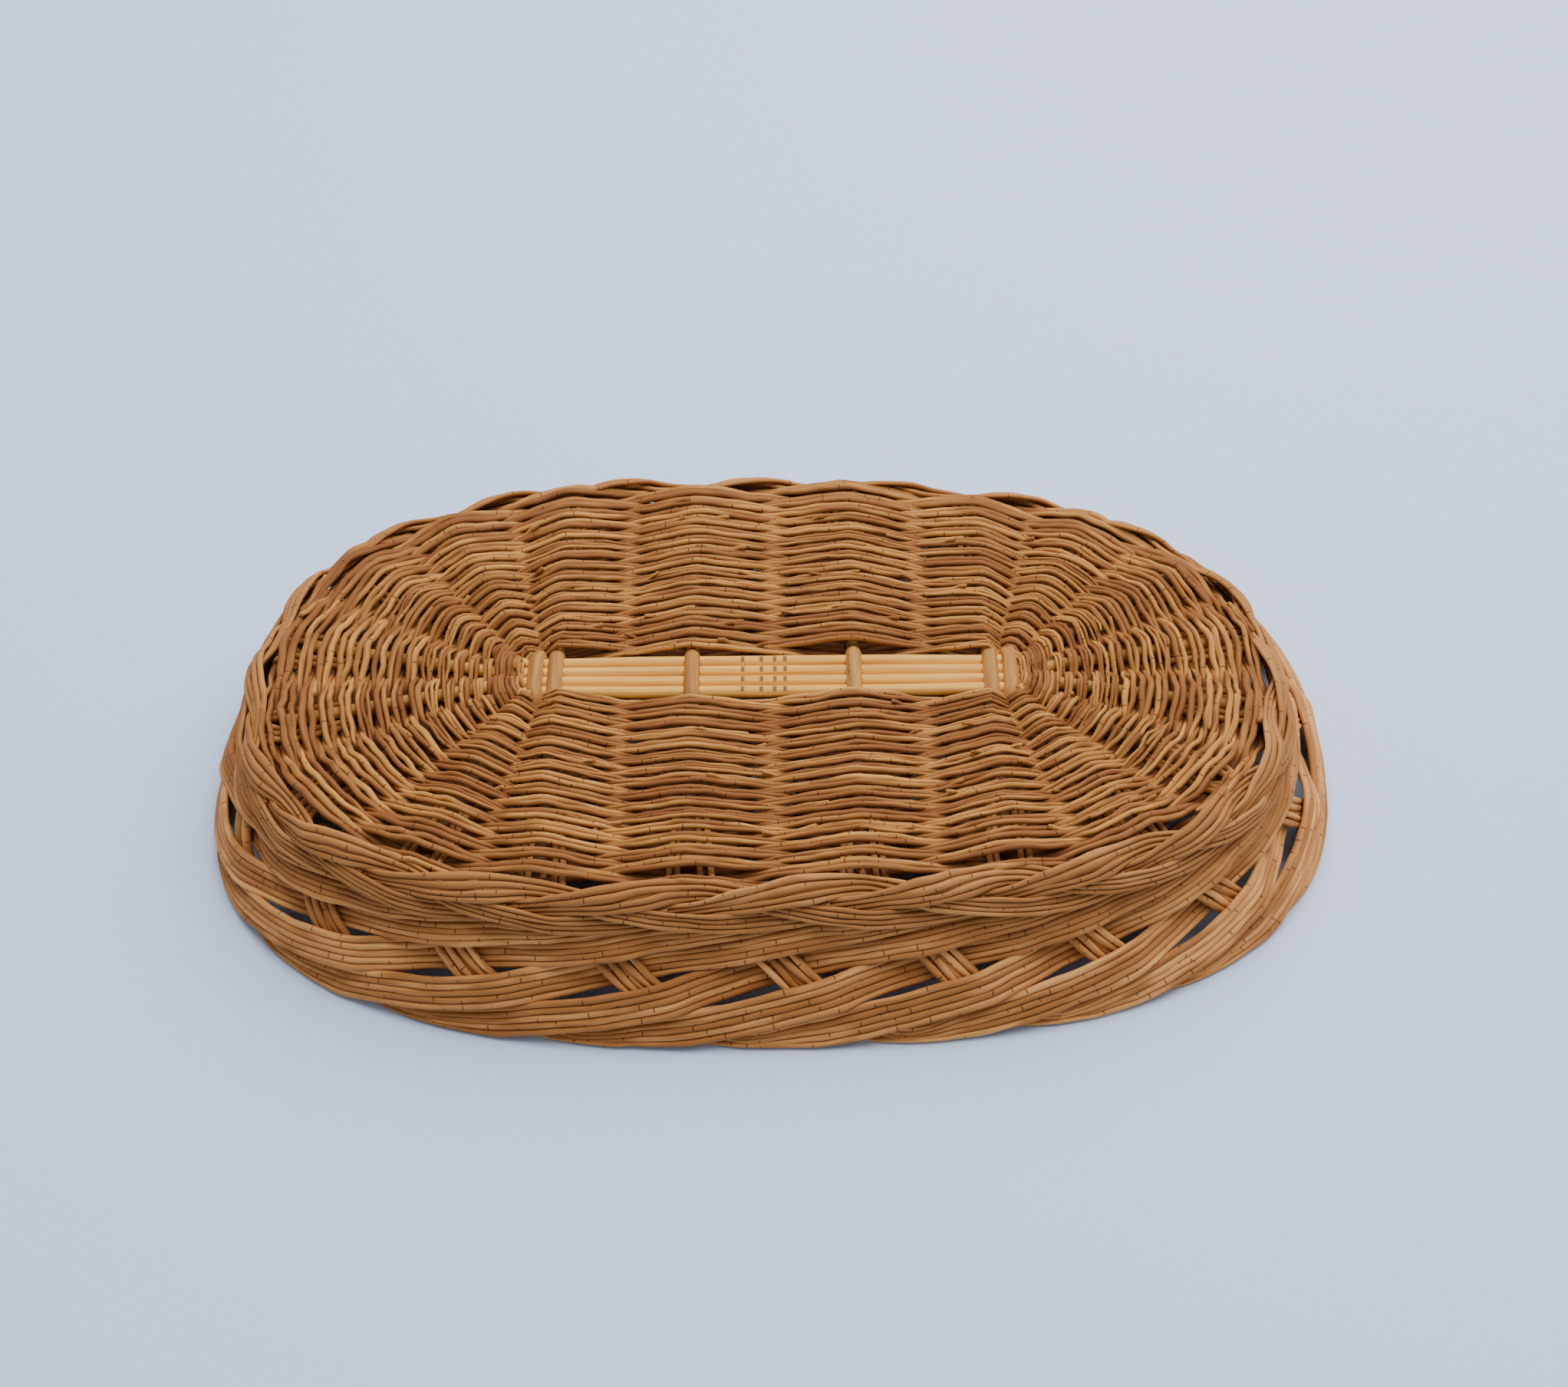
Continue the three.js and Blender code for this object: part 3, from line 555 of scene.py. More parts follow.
def join_rods(rods, name):
    deselect_all()
    for rod in rods:
        rod.select_set(True)
    bpy.context.view_layer.objects.active = rods[0]
    bpy.ops.object.join()
    piece = bpy.context.object
    piece.name = name
    piece.data.name = name
    return piece


# Materials

# Grain: streaks this long, and so many round a rod that each is 0.5 to 1 mm wide, drawn coarser than
# real ones so that they show
BUFF_GRAIN = 12 * MM
BUFF_STREAKS = 16.0
PEELED_GRAIN = 30 * MM
PEELED_STREAKS = 14.0
# Stain from the boiling and from handling, in patches
STAIN_LENGTH = 35 * MM
# Bud scars: five places for one in each stretch of this length, each at its own place round the rod and
# about 0.5 mm long, and small knots on a peeled rod
SCAR_STRETCH = 28 * MM
SCAR_PLACES = 5.0
SPECK_SPACING = 6 * MM
SPECKS_ROUND = 5.0
# Notches on the long sticks: how unevenly they lie, then how far from a notch's middle it has faded out
# and is full, along the stick and, in turns, round it from its top
NOTCH_SWAY = 0.4 * MM
NOTCH_FADING = (0.9 * MM, 0.4 * MM)
STICK_TOP = 0.47
NOTCH_FADING_ROUND = (0.12, 0.05)
# What makes rods of two tones differ in pattern
BUFF_SHIFT = 91.7
PEELED_SHIFT = 53.1


class Nodes:
    """A new material and its nodes"""

    def __init__(self, name):
        self.material = bpy.data.materials.new(name)
        self.material.use_nodes = True
        self.tree = self.material.node_tree
        self.tree.nodes.clear()

    def add(self, kind, *values, named=None, **settings):
        """Adds a node with its settings. Its inputs, in order and then by number or name, are linked to a
        socket or set to a value, and None leaves one alone"""
        node = self.tree.nodes.new("ShaderNode" + kind)
        for key, value in settings.items():
            setattr(node, key, value)
        for key, value in [*enumerate(values), *(named or {}).items()]:
            if isinstance(value, bpy.types.NodeSocket):
                self.tree.links.new(value, node.inputs[key])
            elif value is not None:
                node.inputs[key].default_value = value
        return node.outputs

    def rod_values(self):
        """Distance along a rod, turns round it, its tone, and how weathered it is, which on weavers and
        sticks is how much painted shade it takes
        """
        rod_map = self.add("SeparateXYZ", self.add("UVMap", uv_map="Rod")[0])
        values = [self.add("Attribute", attribute_name=label)[2] for label in ROD_ATTRIBUTES]
        return rod_map[0], rod_map[1], *values

    def drawn_out(self, along, around, shift, length, streaks):
        """A place whose pattern is drawn out along a rod"""
        scaled = [self.add("Math", value, scale, operation="MULTIPLY")[0]
                  for value, scale in ((along, 1 / length), (around, streaks))]
        return self.add("CombineXYZ", *scaled, shift)[0]

    def apart(self, first, second):
        """How far two values are from each other"""
        difference = self.add("Math", first, second, operation="SUBTRACT")[0]
        return self.add("Math", difference, operation="ABSOLUTE")[0]

    def mark(self, strength, *masks):
        """How strong a mark is in each place. A mask with two limits fades smoothly from nothing at the
        first to full at the second, which may be the lower one"""
        for mask in masks:
            if isinstance(mask, tuple):
                mask = self.add("MapRange", *mask, 0.0, 1.0, interpolation_type="SMOOTHSTEP")[0]
            strength = self.add("Math", mask, strength, operation="MULTIPLY")[0]
        return strength

    def layered(self, colour, *layers):
        """A colour under others, each with its strength"""
        for strength, over in layers:
            colour = self.add("Mix", strength, named={6: colour, 7: over}, data_type="RGBA")[2]
        return colour

    def finished(self, colour, rough, sheen, height=None, strength=0.0, depth=0.0):
        """The material, with its shader and, from a height, its bump"""
        inputs = {"Base Color": colour, "Roughness": rough, "IOR": 1.5, "Specular IOR Level": sheen}
        if height is not None:
            bump = {"Strength": strength, "Distance": depth, "Height": height}
            inputs["Normal"] = self.add("Bump", named=bump)[0]
        self.add("OutputMaterial", self.add("BsdfPrincipled", named=inputs)[0])
        return self.material


def buff_willow(name, light, dark, weathered, scar):
    """Buff willow: boiled in its bark and then stripped, which leaves it tan to orange-brown, satin, with
    fine grain along each rod, darker stains and bud scars, browner where it is weathered, and darker where a
    weaver runs under, which is painted shade"""
    nodes = Nodes(name)
    along, around, tone, weathering_and_shade = nodes.rod_values()
    shift = nodes.add("Math", tone, BUFF_SHIFT, operation="MULTIPLY")[0]
    grain_place = nodes.drawn_out(along, around, shift, BUFF_GRAIN, BUFF_STREAKS)
    grain = nodes.add("TexNoise", grain_place, None, 1.0, 3.0, 0.6)[0]
    stain_along = nodes.add("Math", along, 1 / STAIN_LENGTH, operation="MULTIPLY")[0]
    stain_place = nodes.add("CombineXYZ", stain_along, shift, around)[0]
    stain = nodes.add("TexNoise", stain_place, None, 1.0, 2.0, 0.5)[0]
    scar_along = nodes.add("Math", along, 1 / SCAR_STRETCH, operation="MULTIPLY")[0]
    scar_place = nodes.add("Math", scar_along, shift, operation="ADD")[0]
    scars = nodes.add("TexVoronoi", named={"W": scar_place, 2: SCAR_PLACES, 8: 0.9}, voronoi_dimensions="1D")
    near = scars["Distance"]
    turned, ring_chance, side_chance = nodes.add("SeparateXYZ", scars["Color"])
    # Most scars are short marks on one side, and a few go all the way round
    one_side = nodes.add("Math", side_chance, 0.42, operation="GREATER_THAN")[0]
    scar_mark = nodes.mark(0.85, one_side, (nodes.apart(around, turned), 0.2, 0.08), (near, 0.06, 0.022))
    all_round = nodes.add("Math", ring_chance, 0.955, operation="GREATER_THAN")[0]
    ring_mark = nodes.mark(1.0, all_round, (near, 0.022, 0.008))
    colour = nodes.layered(
        dark,
        (nodes.mark(1.0, (tone, 0.0, 1.0)), light),
        (nodes.mark(0.55, (grain, 0.62, 0.32)), dark),
        (nodes.mark(0.35, (grain, 0.5, 0.75)), light),
        (nodes.mark(0.8, (stain, 0.56, 0.4)), dark),
        # Side rods turn browner where weathered; weavers darken where they run under a rib, as painted shade
        (nodes.mark(0.6, weathering_and_shade), weathered),
        (nodes.mark(0.22, ring_mark), scar),
        (scar_mark, scar))
    height = nodes.add("Math", nodes.mark(0.6, grain), nodes.mark(0.5, ring_mark), operation="ADD")[0]
    rough = nodes.add("MapRange", grain, 0.3, 0.7, 0.58, 0.8)[0]
    return nodes.finished(colour, rough, 0.25, height, 0.5, 0.4 * MM)


def peeled_willow(name, light, dark, shade_colour, scar, marks):
    """White willow: peeled before drying, so cream and nearly smooth, with faint grain and small dark knots,
    darker where it runs under the weaving, as painted shade, and with a dark notch on top at each marked
    place"""
    nodes = Nodes(name)
    along, around, tone, stain = nodes.rod_values()
    shift = nodes.add("Math", tone, PEELED_SHIFT, operation="MULTIPLY")[0]
    grain_place = nodes.drawn_out(along, around, shift, PEELED_GRAIN, PEELED_STREAKS)
    grain = nodes.add("TexNoise", grain_place, None, 1.0, 4.0, 0.6)[0]
    speck_place = nodes.drawn_out(along, around, shift, SPECK_SPACING, SPECKS_ROUND)
    specks = nodes.add("TexVoronoi", speck_place, None, 1.0)
    speck_chance = nodes.add("SeparateXYZ", specks["Color"])[0]
    chosen = nodes.add("Math", speck_chance, 0.9, operation="GREATER_THAN")[0]
    colour = nodes.layered(
        dark,
        (nodes.mark(1.0, (grain, 0.3, 0.7)), light),
        # Darker where the stick runs under the weaving: painted shade
        (stain, shade_colour),
        (nodes.mark(0.7, chosen, (specks["Distance"], 0.16, 0.05)), scar))
    if marks:
        # Each stick has its notches a little further along or back
        lengthwise = nodes.add("SeparateXYZ", nodes.add("TexCoord")["Object"])[0]
        sway = nodes.add("Math", shift, operation="SINE")[0]
        uneven = nodes.add("Math", sway, NOTCH_SWAY, operation="MULTIPLY")[0]
        crosswise = nodes.add("Math", lengthwise, uneven, operation="ADD")[0]
        nearest = nodes.apart(crosswise, marks[0] * MM)
        for mark in marks[1:]:
            away = nodes.apart(crosswise, mark * MM)
            nearest = nodes.add("Math", nearest, away, operation="MINIMUM")[0]
        notch = nodes.mark(0.8, (nearest, *NOTCH_FADING),
                           (nodes.apart(around, STICK_TOP), *NOTCH_FADING_ROUND))
        colour = nodes.layered(colour, (notch, scar))
    rough = nodes.add("MapRange", grain, 0.3, 0.7, 0.5, 0.7)[0]
    return nodes.finished(colour, rough, 0.28, grain, 0.25, 0.3 * MM)


def finish_material(kind):
    """The basket's materials, made once each when first asked for"""
    found = bpy.data.materials.get(kind)
    if found:
        return found
    hues = bpy.context.scene.basket_colours
    if kind == "buff_willow_side_rods":
        return buff_willow(kind, hues.rod_light, hues.rod_dark, hues.weathered, hues.node_mark)
    if kind == "buff_willow_weavers":
        # The weavers' second colour darkens them where they run under a rib: painted shade
        return buff_willow(kind, hues.weaver_light, hues.weaver_dark, hues.crevice_shade, hues.node_mark)
    if kind == "peeled_willow_long_sticks":
        return peeled_willow(
            kind, hues.peeled, hues.peeled_dark, hues.long_stick_shade, hues.node_mark, STICK_MARKS)
    return peeled_willow(kind, hues.cross_stick, hues.cross_dark, hues.cross_stick_shade, hues.node_mark, ())


def dress(piece, kind, slot, *nodes):
    """Gives a finished piece its material and its place in the frame"""
    piece.data.materials.clear()
    piece.data.materials.append(finish_material(kind))
    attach(piece, "root")
    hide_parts(*nodes)


# The ribs' courses in plan, from the bare middle to the edge

def fan_rib(sign, degrees):
    """A fanned rib's start at its fan's centre, its direction, and how far it runs to the base's edge"""
    angle = math.radians(degrees)
    start = np.array([sign * FAN_CENTRE, 0.0])
    direction = np.array([sign * math.sin(angle), -math.cos(angle)])
    return start, direction, distance_to_outline(start, direction, SIDE["base"])


def cross_rib(place, side):
    """The same for a rib straight across the base"""
    start = np.array([place, 0.0])
    direction = np.array([0.0, float(side)])
    return start, direction, distance_to_outline(start, direction, SIDE["base"])


def rib_lines():
    """Each rib's line in plan, points out to the base's edge: the right fan's ribs from the viewer's side,
    the left fan's, and both ends of each inner cross stick"""
    lines = []
    for sign, fan, outer in (RIGHT_FAN, LEFT_FAN):
        for index, degrees in enumerate(fan):
            start, direction, reach = fan_rib(sign, degrees)
            if index in (0, len(fan) - 1):
                points = [np.array([outer, -RIB_START if index == 0 else RIB_START]),
                          start + direction * OUTER_RIB_BEND]
            else:
                sideways = (index - 2.5) * LONG_STICK_PITCH
                points = [np.array([outer - sign * 2, sideways]),
                          np.array([outer + sign * PAST_CROSS_STICK, sideways]), start + direction * FAN_BEND]
            lines.append(np.array(points + [start + direction * reach]))
    for place in CROSS_STICK_PLACES[1:-1]:
        for side in (-1, 1):
            start, direction, reach = cross_rib(place, side)
            lines.append(np.array([start + direction * RIB_START, start + direction * reach]))
    return lines


def crossing_of(loop, line):
    """Where a closed row crosses a rib: the share of the row's points"""
    for start, end in zip(line[:-1], line[1:]):
        on_line, on_edge = meetings(start, end - start, loop)
        hit = np.nonzero((on_edge >= 0) & (on_edge < 1) & (on_line >= 0) & (on_line <= 1))[0]
        if len(hit):
            return hit[0] + on_edge[hit[0]]
    return None


def row_shares(count):
    """Each row's share of the way from the bare middle to the edge; the last rows lie looser"""
    steps = np.random.default_rng(STEP_SEED).uniform(*ROW_STEPS, count)
    steps[-3:] = LAST_ROW_STEPS
    ends = np.cumsum(steps)
    return (ends - steps / 2) / ends[-1], steps / ends[-1]


def row_loop(share, step, count=1200):
    """A row's line in plan and the room it has, which is less near the middle of the ends"""
    angles = -math.pi / 2 + np.arange(count) / count * 2 * math.pi
    inner = oval_points(BARE_OVAL, angles) + np.array([BARE_CENTRE, 0.0])
    length, width, fullness, waves = BASE_OVAL
    outer = oval_points((length + WEAVE_EDGE_REACH, width + WEAVE_EDGE_REACH, fullness, waves), angles)
    crowding = 1 + END_CROWDING * np.cos(angles) ** 2
    loop = inner + (outer - inner) * (share ** crowding)[:, None]
    ahead = unit(np.roll(loop, -1, axis=0) - np.roll(loop, 1, axis=0))
    onward = (outer - inner) * (crowding * share ** (crowding - 1) * step)[:, None]
    return loop, np.abs(onward[:, 0] * ahead[:, 1] - onward[:, 1] * ahead[:, 0])


def upward(places):
    """A way out that points straight up at each place"""
    return np.tile((0.0, 0.0, 1.0), (len(places), 1))


def stake_places(first_along):
    """For each group, the rib that its rods start beside: its place along the side, and its line"""
    along = np.arange(0, SIDE["length"], EDGE_STEP)
    edge, _ = side_points(along, np.zeros_like(along), np.zeros_like(along))
    found = []
    for line in rib_lines():
        nearest = np.hypot(*(edge[:, :2] - line[-1]).T).argmin()
        found.append((along[nearest], line))
    places = []
    for group in range(GROUP_COUNT):
        wanted = first_along + group * GROUP_SPACING
        half_round = SIDE["length"] / 2
        gaps = [(place - wanted + half_round) % SIDE["length"] - half_round for place, _ in found]
        nearest = int(np.argmin(np.abs(gaps)))
        places.append((wanted + gaps[nearest], found[nearest][1]))
    return places


def stake_tail(line, beside, below, start):
    """The start of a side rod, pushed in beside or below its rib under the weaving"""
    direction = line[-1] - line[-2]
    direction = direction / np.hypot(*direction)
    sideways = np.array([-direction[1], direction[0]])
    rows = []
    for inside, share in STAKE_TAIL:
        spot = line[-1] - direction * inside + sideways * beside * share
        rows.append((spot[0], spot[1], BASE_MIDDLE_HEIGHT - STAKE_SINKING - below))
    rows.append(tuple(start))
    return smooth_rows(rows, np.linspace(0, len(rows) - 1, STAKE_RINGS))[:-1]


class BASKET_OT_side_rods(bpy.types.Operator):
    """Lays the twenty groups of side rods, from the base's edge round the rim to the foot ring"""
    bl_idname = "basket.side_rods"
    bl_label = "Side rods"

    def execute(self, context):
        sizes = context.scene.basket_sizes
        count = sizes.rods_in_group
        radius = sizes.rod_diameter / MM / 2
        stations = np.linspace(0, len(GROUP_COURSE) - 1, COURSE_RINGS)
        course = smooth_rows(GROUP_COURSE, stations)

        def by_row(table):
            return np.interp(stations, *table)

        along_centre = course[:, 0] * GROUP_SPACING
        down_centre = course[:, 1] * SIDE_DEPTH + by_row(CREST_LOWERED) + by_row(SWEEP_LOWERED)
        heading = unit(np.stack([np.gradient(along_centre), np.gradient(down_centre)], -1))
        half_band = course[:, 2] * GROUP_SPACING
        half_layer = (course[:, 3] * BAND_THICKNESS + (BAND_LAYER - BAND_THICKNESS)) / 2
        travelled = np.r_[0, np.cumsum(np.hypot(np.diff(along_centre), np.diff(down_centre)))]
        weathered = np.clip((travelled / travelled[-1] - 0.4) / 0.3, 0, 1)
        bridge = by_row(ON_BRIDGE)
        in_foot_ring = by_row(IN_FOOT_RING)
        touching = TOUCHING + (LOOSE - TOUCHING) * in_foot_ring
        narrowest, widest = [swept + (ringed - swept) * in_foot_ring for swept, ringed in (NARROWEST, WIDEST)]
        visible_half = half_band * by_row(BAND_WIDENING)
        packed = np.maximum(visible_half - visible_half / count, 0.5)
        emerging = np.where(stations < EMERGING_ROWS, smooth_step(down_centre / EMERGING_DEPTH), 1.0)
        for group, (rib_along, rib_line) in enumerate(stake_places(along_centre[0])):
            group_chance = np.random.default_rng(GROUP_SEED + group)
            group_sway = 0.35 * slow_noise(travelled, group_chance, 120) * emerging
            group_tone = group_chance.uniform(0.38, 0.82)
            courses = []
            for rod in range(count):
                chance = np.random.default_rng(ROD_SEED + 10 * group + rod)
                thickness = radius * chance.uniform(0.94, 1.05) * by_row(ROD_SHARE)
                # The group opens on its bridge, where a middle rod lies behind the others
                spread = 1 - 2 * rod / (count - 1)
                apart = BRIDGE_SPREAD * spread * abs(spread) ** 0.5
                behind = 1 - min(1, abs(spread) * 3)
                wander = 0.16 * slow_noise(travelled, chance, 45) * emerging
                # In the foot ring the middle rod lies under the others, which close up over it
                closing = 1 - 0.32 * in_foot_ring if 0 < abs(spread) < 1 else 1.0
                sideways = spread * closing * packed * (1 - bridge) + apart * bridge + wander + group_sway
                share = np.clip((1 + sideways / half_band) / 2, 0, 1)
                layer = (course[:, 5] + (course[:, 4] - course[:, 5]) * share) * BAND_LAYER
                layer = layer * by_row(LAYER_SHARE)
                layer = layer + 0.1 * slow_noise(travelled, chance, 30)
                layer = layer - behind * (BEHIND_ON_BRIDGE * bridge + BEHIND_IN_FOOT_RING * in_foot_ring)
                layer = layer + in_foot_ring * chance.uniform(-0.15, 0.3) * (1 - behind)
                along = along_centre + group * GROUP_SPACING + heading[:, 1] * sideways
                down = down_centre - heading[:, 0] * sideways
                beside = np.interp(spread, (-1, -0.5, 0, 0.5, 1), STAKE_OFFSETS) + chance.uniform(-0.4, 0.4)
                along = (rib_along + beside + 0.25 * down_centre) * (1 - emerging) + along * emerging
                down = down_centre * (1 - emerging) + down * emerging
                courses.append((chance, thickness, *side_points(along, down, layer), beside, behind))
            rods = []
            for rod, (chance, thickness, places, normals, beside, behind) in enumerate(courses):
                # Each rod is pressed as wide as the space to its neighbours, except where they stand free
                gaps = [np.linalg.norm(courses[other][2] - places, axis=1)
                        for other in (rod - 1, rod + 1) if 0 <= other < count]
                pressed = np.clip(np.maximum.reduce(gaps) / 2 * touching, narrowest, widest)
                half_width = pressed + (thickness - pressed) * by_row(STANDING_FREE)
                half_height = np.minimum(thickness, half_layer)
                tail = stake_tail(rib_line, beside, BEHIND_AT_BASE * behind, places[0])
                places = np.vstack([tail, places])
                normals = np.vstack([upward(tail), normals])
                half_width = np.pad(half_width, (len(tail), 0), "edge")
                half_height = np.pad(half_height, (len(tail), 0), "edge")
                weathering_and_shade = np.pad(weathered, (len(tail), 0))
                places[:, 2] = np.maximum(places[:, 2], half_height * 0.9)
                rod_tone = group_tone + chance.uniform(-0.28, 0.28)
                rods.append(bent_rod("rod", places, normals, half_width, half_height, rod_tone,
                                     weathering_and_shade, start=chance.uniform(0, 9)))
            piece = join_rods(rods, f"side_rods_{group + 1:02d}")
            dress(piece, "buff_willow_side_rods", "side_rods", f"side_group_{group + 1:02d}")
        return {"FINISHED"}


def weaver_course(loop, room, ribs, row, distance, reach):
    """Places along a row that goes over one rib and under the next, with the way out and the room it has.
    Ribs less than PAIRING apart are woven over and under in pairs"""
    closed, lengths = closed_line(loop)
    total = lengths[-1]
    crossings = []
    for line in ribs:
        crossing = crossing_of(loop, line)
        if crossing is None:
            raise RuntimeError(f"row {row} misses a rib")
        crossings.append((np.interp(crossing, np.arange(len(lengths)), lengths), 0.0))
    for pairs in PAIRED_RIBS:
        gaps = [crossings[first + 1][0] - crossings[first][0] for first in pairs]
        # Both pairs of an end are taken together, so that every rib is passed over and under in turn
        if np.abs(gaps).mean() < PAIRING:
            for first, gap in zip(pairs, gaps):
                crossings[first] = (crossings[first][0] + gap / 2, abs(gap) / 2)
                crossings[first + 1] = None
    crossings = np.array(sorted(crossing for crossing in crossings if crossing is not None))
    ends = np.r_[crossings[:, 0], crossings[0, 0] + total]
    flats = np.r_[crossings[:, 1], crossings[0, 1]]
    wrapped = np.mod(distance, total)
    onward = np.where(wrapped < ends[0], wrapped + total, wrapped)
    gap = np.clip(np.searchsorted(ends, onward, side="right") - 1, 0, len(crossings) - 1)
    span = ends[gap + 1] - ends[gap]
    before = onward - ends[gap]
    closer = np.where(before < span / 2, gap, gap + 1)
    nearest = np.maximum(np.minimum(before, span - before) - flats[closer], 0)
    half_span = span / 2 - flats[closer]
    sign = np.where((closer % len(crossings) + row) % 2 == 0, 1.0, -1.0)
    if row < ROWS_OVER_PAIRS:
        sign = np.where(flats[closer] > 0, 1.0, sign)
    rounding = np.minimum(RIB_ROUNDING, half_span * 0.4)
    rise = np.sqrt(nearest ** 2 + rounding ** 2) - rounding
    full = np.sqrt(half_span ** 2 + rounding ** 2) - rounding
    lift = LOWEST_LIFT + (reach - LOWEST_LIFT) * smooth_step((span - LIFTING_GAPS[0]) / LIFTING_GAPS[1])
    height = sign * (1 - rise / full) * lift
    line = point_along(closed, lengths, distance)
    out = to_the_right(unit(point_along(closed, lengths, distance + 1) - line))
    return line, height, out, np.interp(wrapped, lengths, np.r_[room, room[:1]])


def weaver(weave, row, chance, first, last, beside):
    """One weaver of a row, between its two ends and beside the middle of its row"""
    tip_lift = chance.choice(TIP_LIFTS)
    distance = np.linspace(first, last, 4 * int(round((last - first) / WEAVER_STEP / 4)) + 1)
    reach = weave.height
    line, height, out, space = weaver_course(weave.loop, weave.room, weave.ribs, row, distance, reach)
    from_end = np.minimum(distance - first, last - distance)
    near_end = 1 - smooth_step((from_end - 12) / 14)
    leaning = np.where(distance - first < last - distance, 1.0, -1.0) * near_end
    # A row's strands squeeze together between the ribs, open out over a rib and more under one,
    # and stand further apart in the ends
    over = smooth_step(2.2 * height / reach)
    under = smooth_step(-2.2 * height / reach)
    at_end = smooth_step((np.abs(line[:, 0]) - BASE_ENDS[0]) / BASE_ENDS[1])
    opened = 1.1 + (0.36 + 0.2 * at_end) * over + 0.96 * under
    half_row = np.maximum(space / 2, 0.75) * opened
    row_chance = np.random.default_rng(ROW_SEED + row)
    wander = 0.16 * slow_noise(distance, row_chance, 55)
    wander = wander + (0.12 + 0.26 * at_end) * slow_noise(distance, chance, 30)
    bob = 0.1 * slow_noise(distance, row_chance, 25) + 0.24 * slow_noise(distance, chance, 36)
    strand = half_row / weave.parts * (1.08 - 0.17 * at_end * over) * chance.uniform(0.88, 1.12)
    half_width = np.maximum(strand * (1 - 0.25 * near_end), 0.6)
    aside = wander + half_row * (beside + 0.4 * leaning / weave.parts)
    lift = bob + (1 - smooth_step(from_end / TIP_LENGTH)) * tip_lift
    # The last rows are wider along the far side, where they back the foot ring, and the very last one
    # lies lower on the shoulder
    far = smooth_step(line[:, 1] / 50 - 0.4)
    if weave.rows_left == 0:
        half_width = half_width * (1 + 0.75 * far)
        aside = aside + FAR_SET_OUT * far
        lift = lift - LAST_ROW_LOWERED * smooth_step(0.5 - line[:, 1] / 100) - FAR_LOWERED * far
    elif weave.rows_left < 4:
        half_width = half_width * (1 + 0.3 * far)
    places = np.column_stack([line + out * aside[:, None], BASE_MIDDLE_HEIGHT + height + lift])
    places[:, 2] = np.minimum(places[:, 2], WEAVE_TOP)
    rod_tone = min(1.0, max(0.0, weave.tone + chance.uniform(-0.3, 0.28)))
    half_height = np.minimum(half_width * 1.1, weave.thickest)
    # The share that runs under a rib darkens the weaver there, as painted shade
    return bent_rod("weaver", places, upward(places), half_width, half_height, rod_tone, under,
                    start=chance.uniform(0, 9), corners=6)


class BASKET_OT_base_weave(bpy.types.Operator):
    """Weaves the base's rows over and under the twenty ribs, from the bare middle to the edge"""
    bl_idname = "basket.base_weave"
    bl_label = "Base weave"

    def execute(self, context):
        sizes = context.scene.basket_sizes
        weave = SimpleNamespace(thickest=sizes.weaver_diameter / MM / 2, height=sizes.weave_height / MM)
        weave.ribs = [np.vstack([line, line[-1] + (line[-1] - line[-2]) * 0.1]) for line in rib_lines()]
        shares, steps = row_shares(sizes.weaver_rows)
        rings = [[], [], []]
        for row, (share, step) in enumerate(zip(shares, steps)):
            chance = np.random.default_rng(WEAVER_SEED + row)
            weave.loop, weave.room = row_loop(share, step)
            weave.rows_left = len(shares) - 1 - row
            total = np.hypot(*(np.roll(weave.loop, -1, axis=0) - weave.loop).T).sum()
            weave.tone = chance.uniform(0.35, 0.8) if row > 2 else 0.75
            weave.parts = int(chance.choice((2, 2, 2, 3)))
            for part in range(weave.parts):
                # A row is joined from a few weavers
                pieces = max(1, int(round(total / chance.uniform(*WEAVER_LENGTHS))))
                joins = chance.uniform(0, total)
                uneven = chance.uniform(-0.2, 0.2, pieces + 1)
                joins = joins + (np.arange(pieces + 1) + uneven) / pieces * total
                joins[-1] = joins[0] + total
                beside = (2 * part + 1 - weave.parts) / weave.parts
                for index in range(pieces):
                    rings[min(2, int(share * 3))].append(
                        weaver(weave, row, chance, joins[index] - WEAVER_OVERLAP,
                               joins[index + 1] + WEAVER_OVERLAP, beside))
        for index, weavers in enumerate(rings):
            piece = join_rods(weavers, f"base_weavers_{index + 1}")
            dress(piece, "buff_willow_weavers", "base_weavers", f"base_weave_{index + 1}")
        return {"FINISHED"}


def stick_half(start, direction, reach, bend, *inner):
    """Half a stick's points in plan, from its outer end inward"""
    reach = reach - STICK_SHORTFALL
    outer = [start + direction * distance for distance in (reach, (reach + bend) / 2, bend)]
    return outer + [np.array(point) for point in inner]


def stick_places(points):
    return smooth_rows(points, np.linspace(0, len(points) - 1, STICK_RINGS))


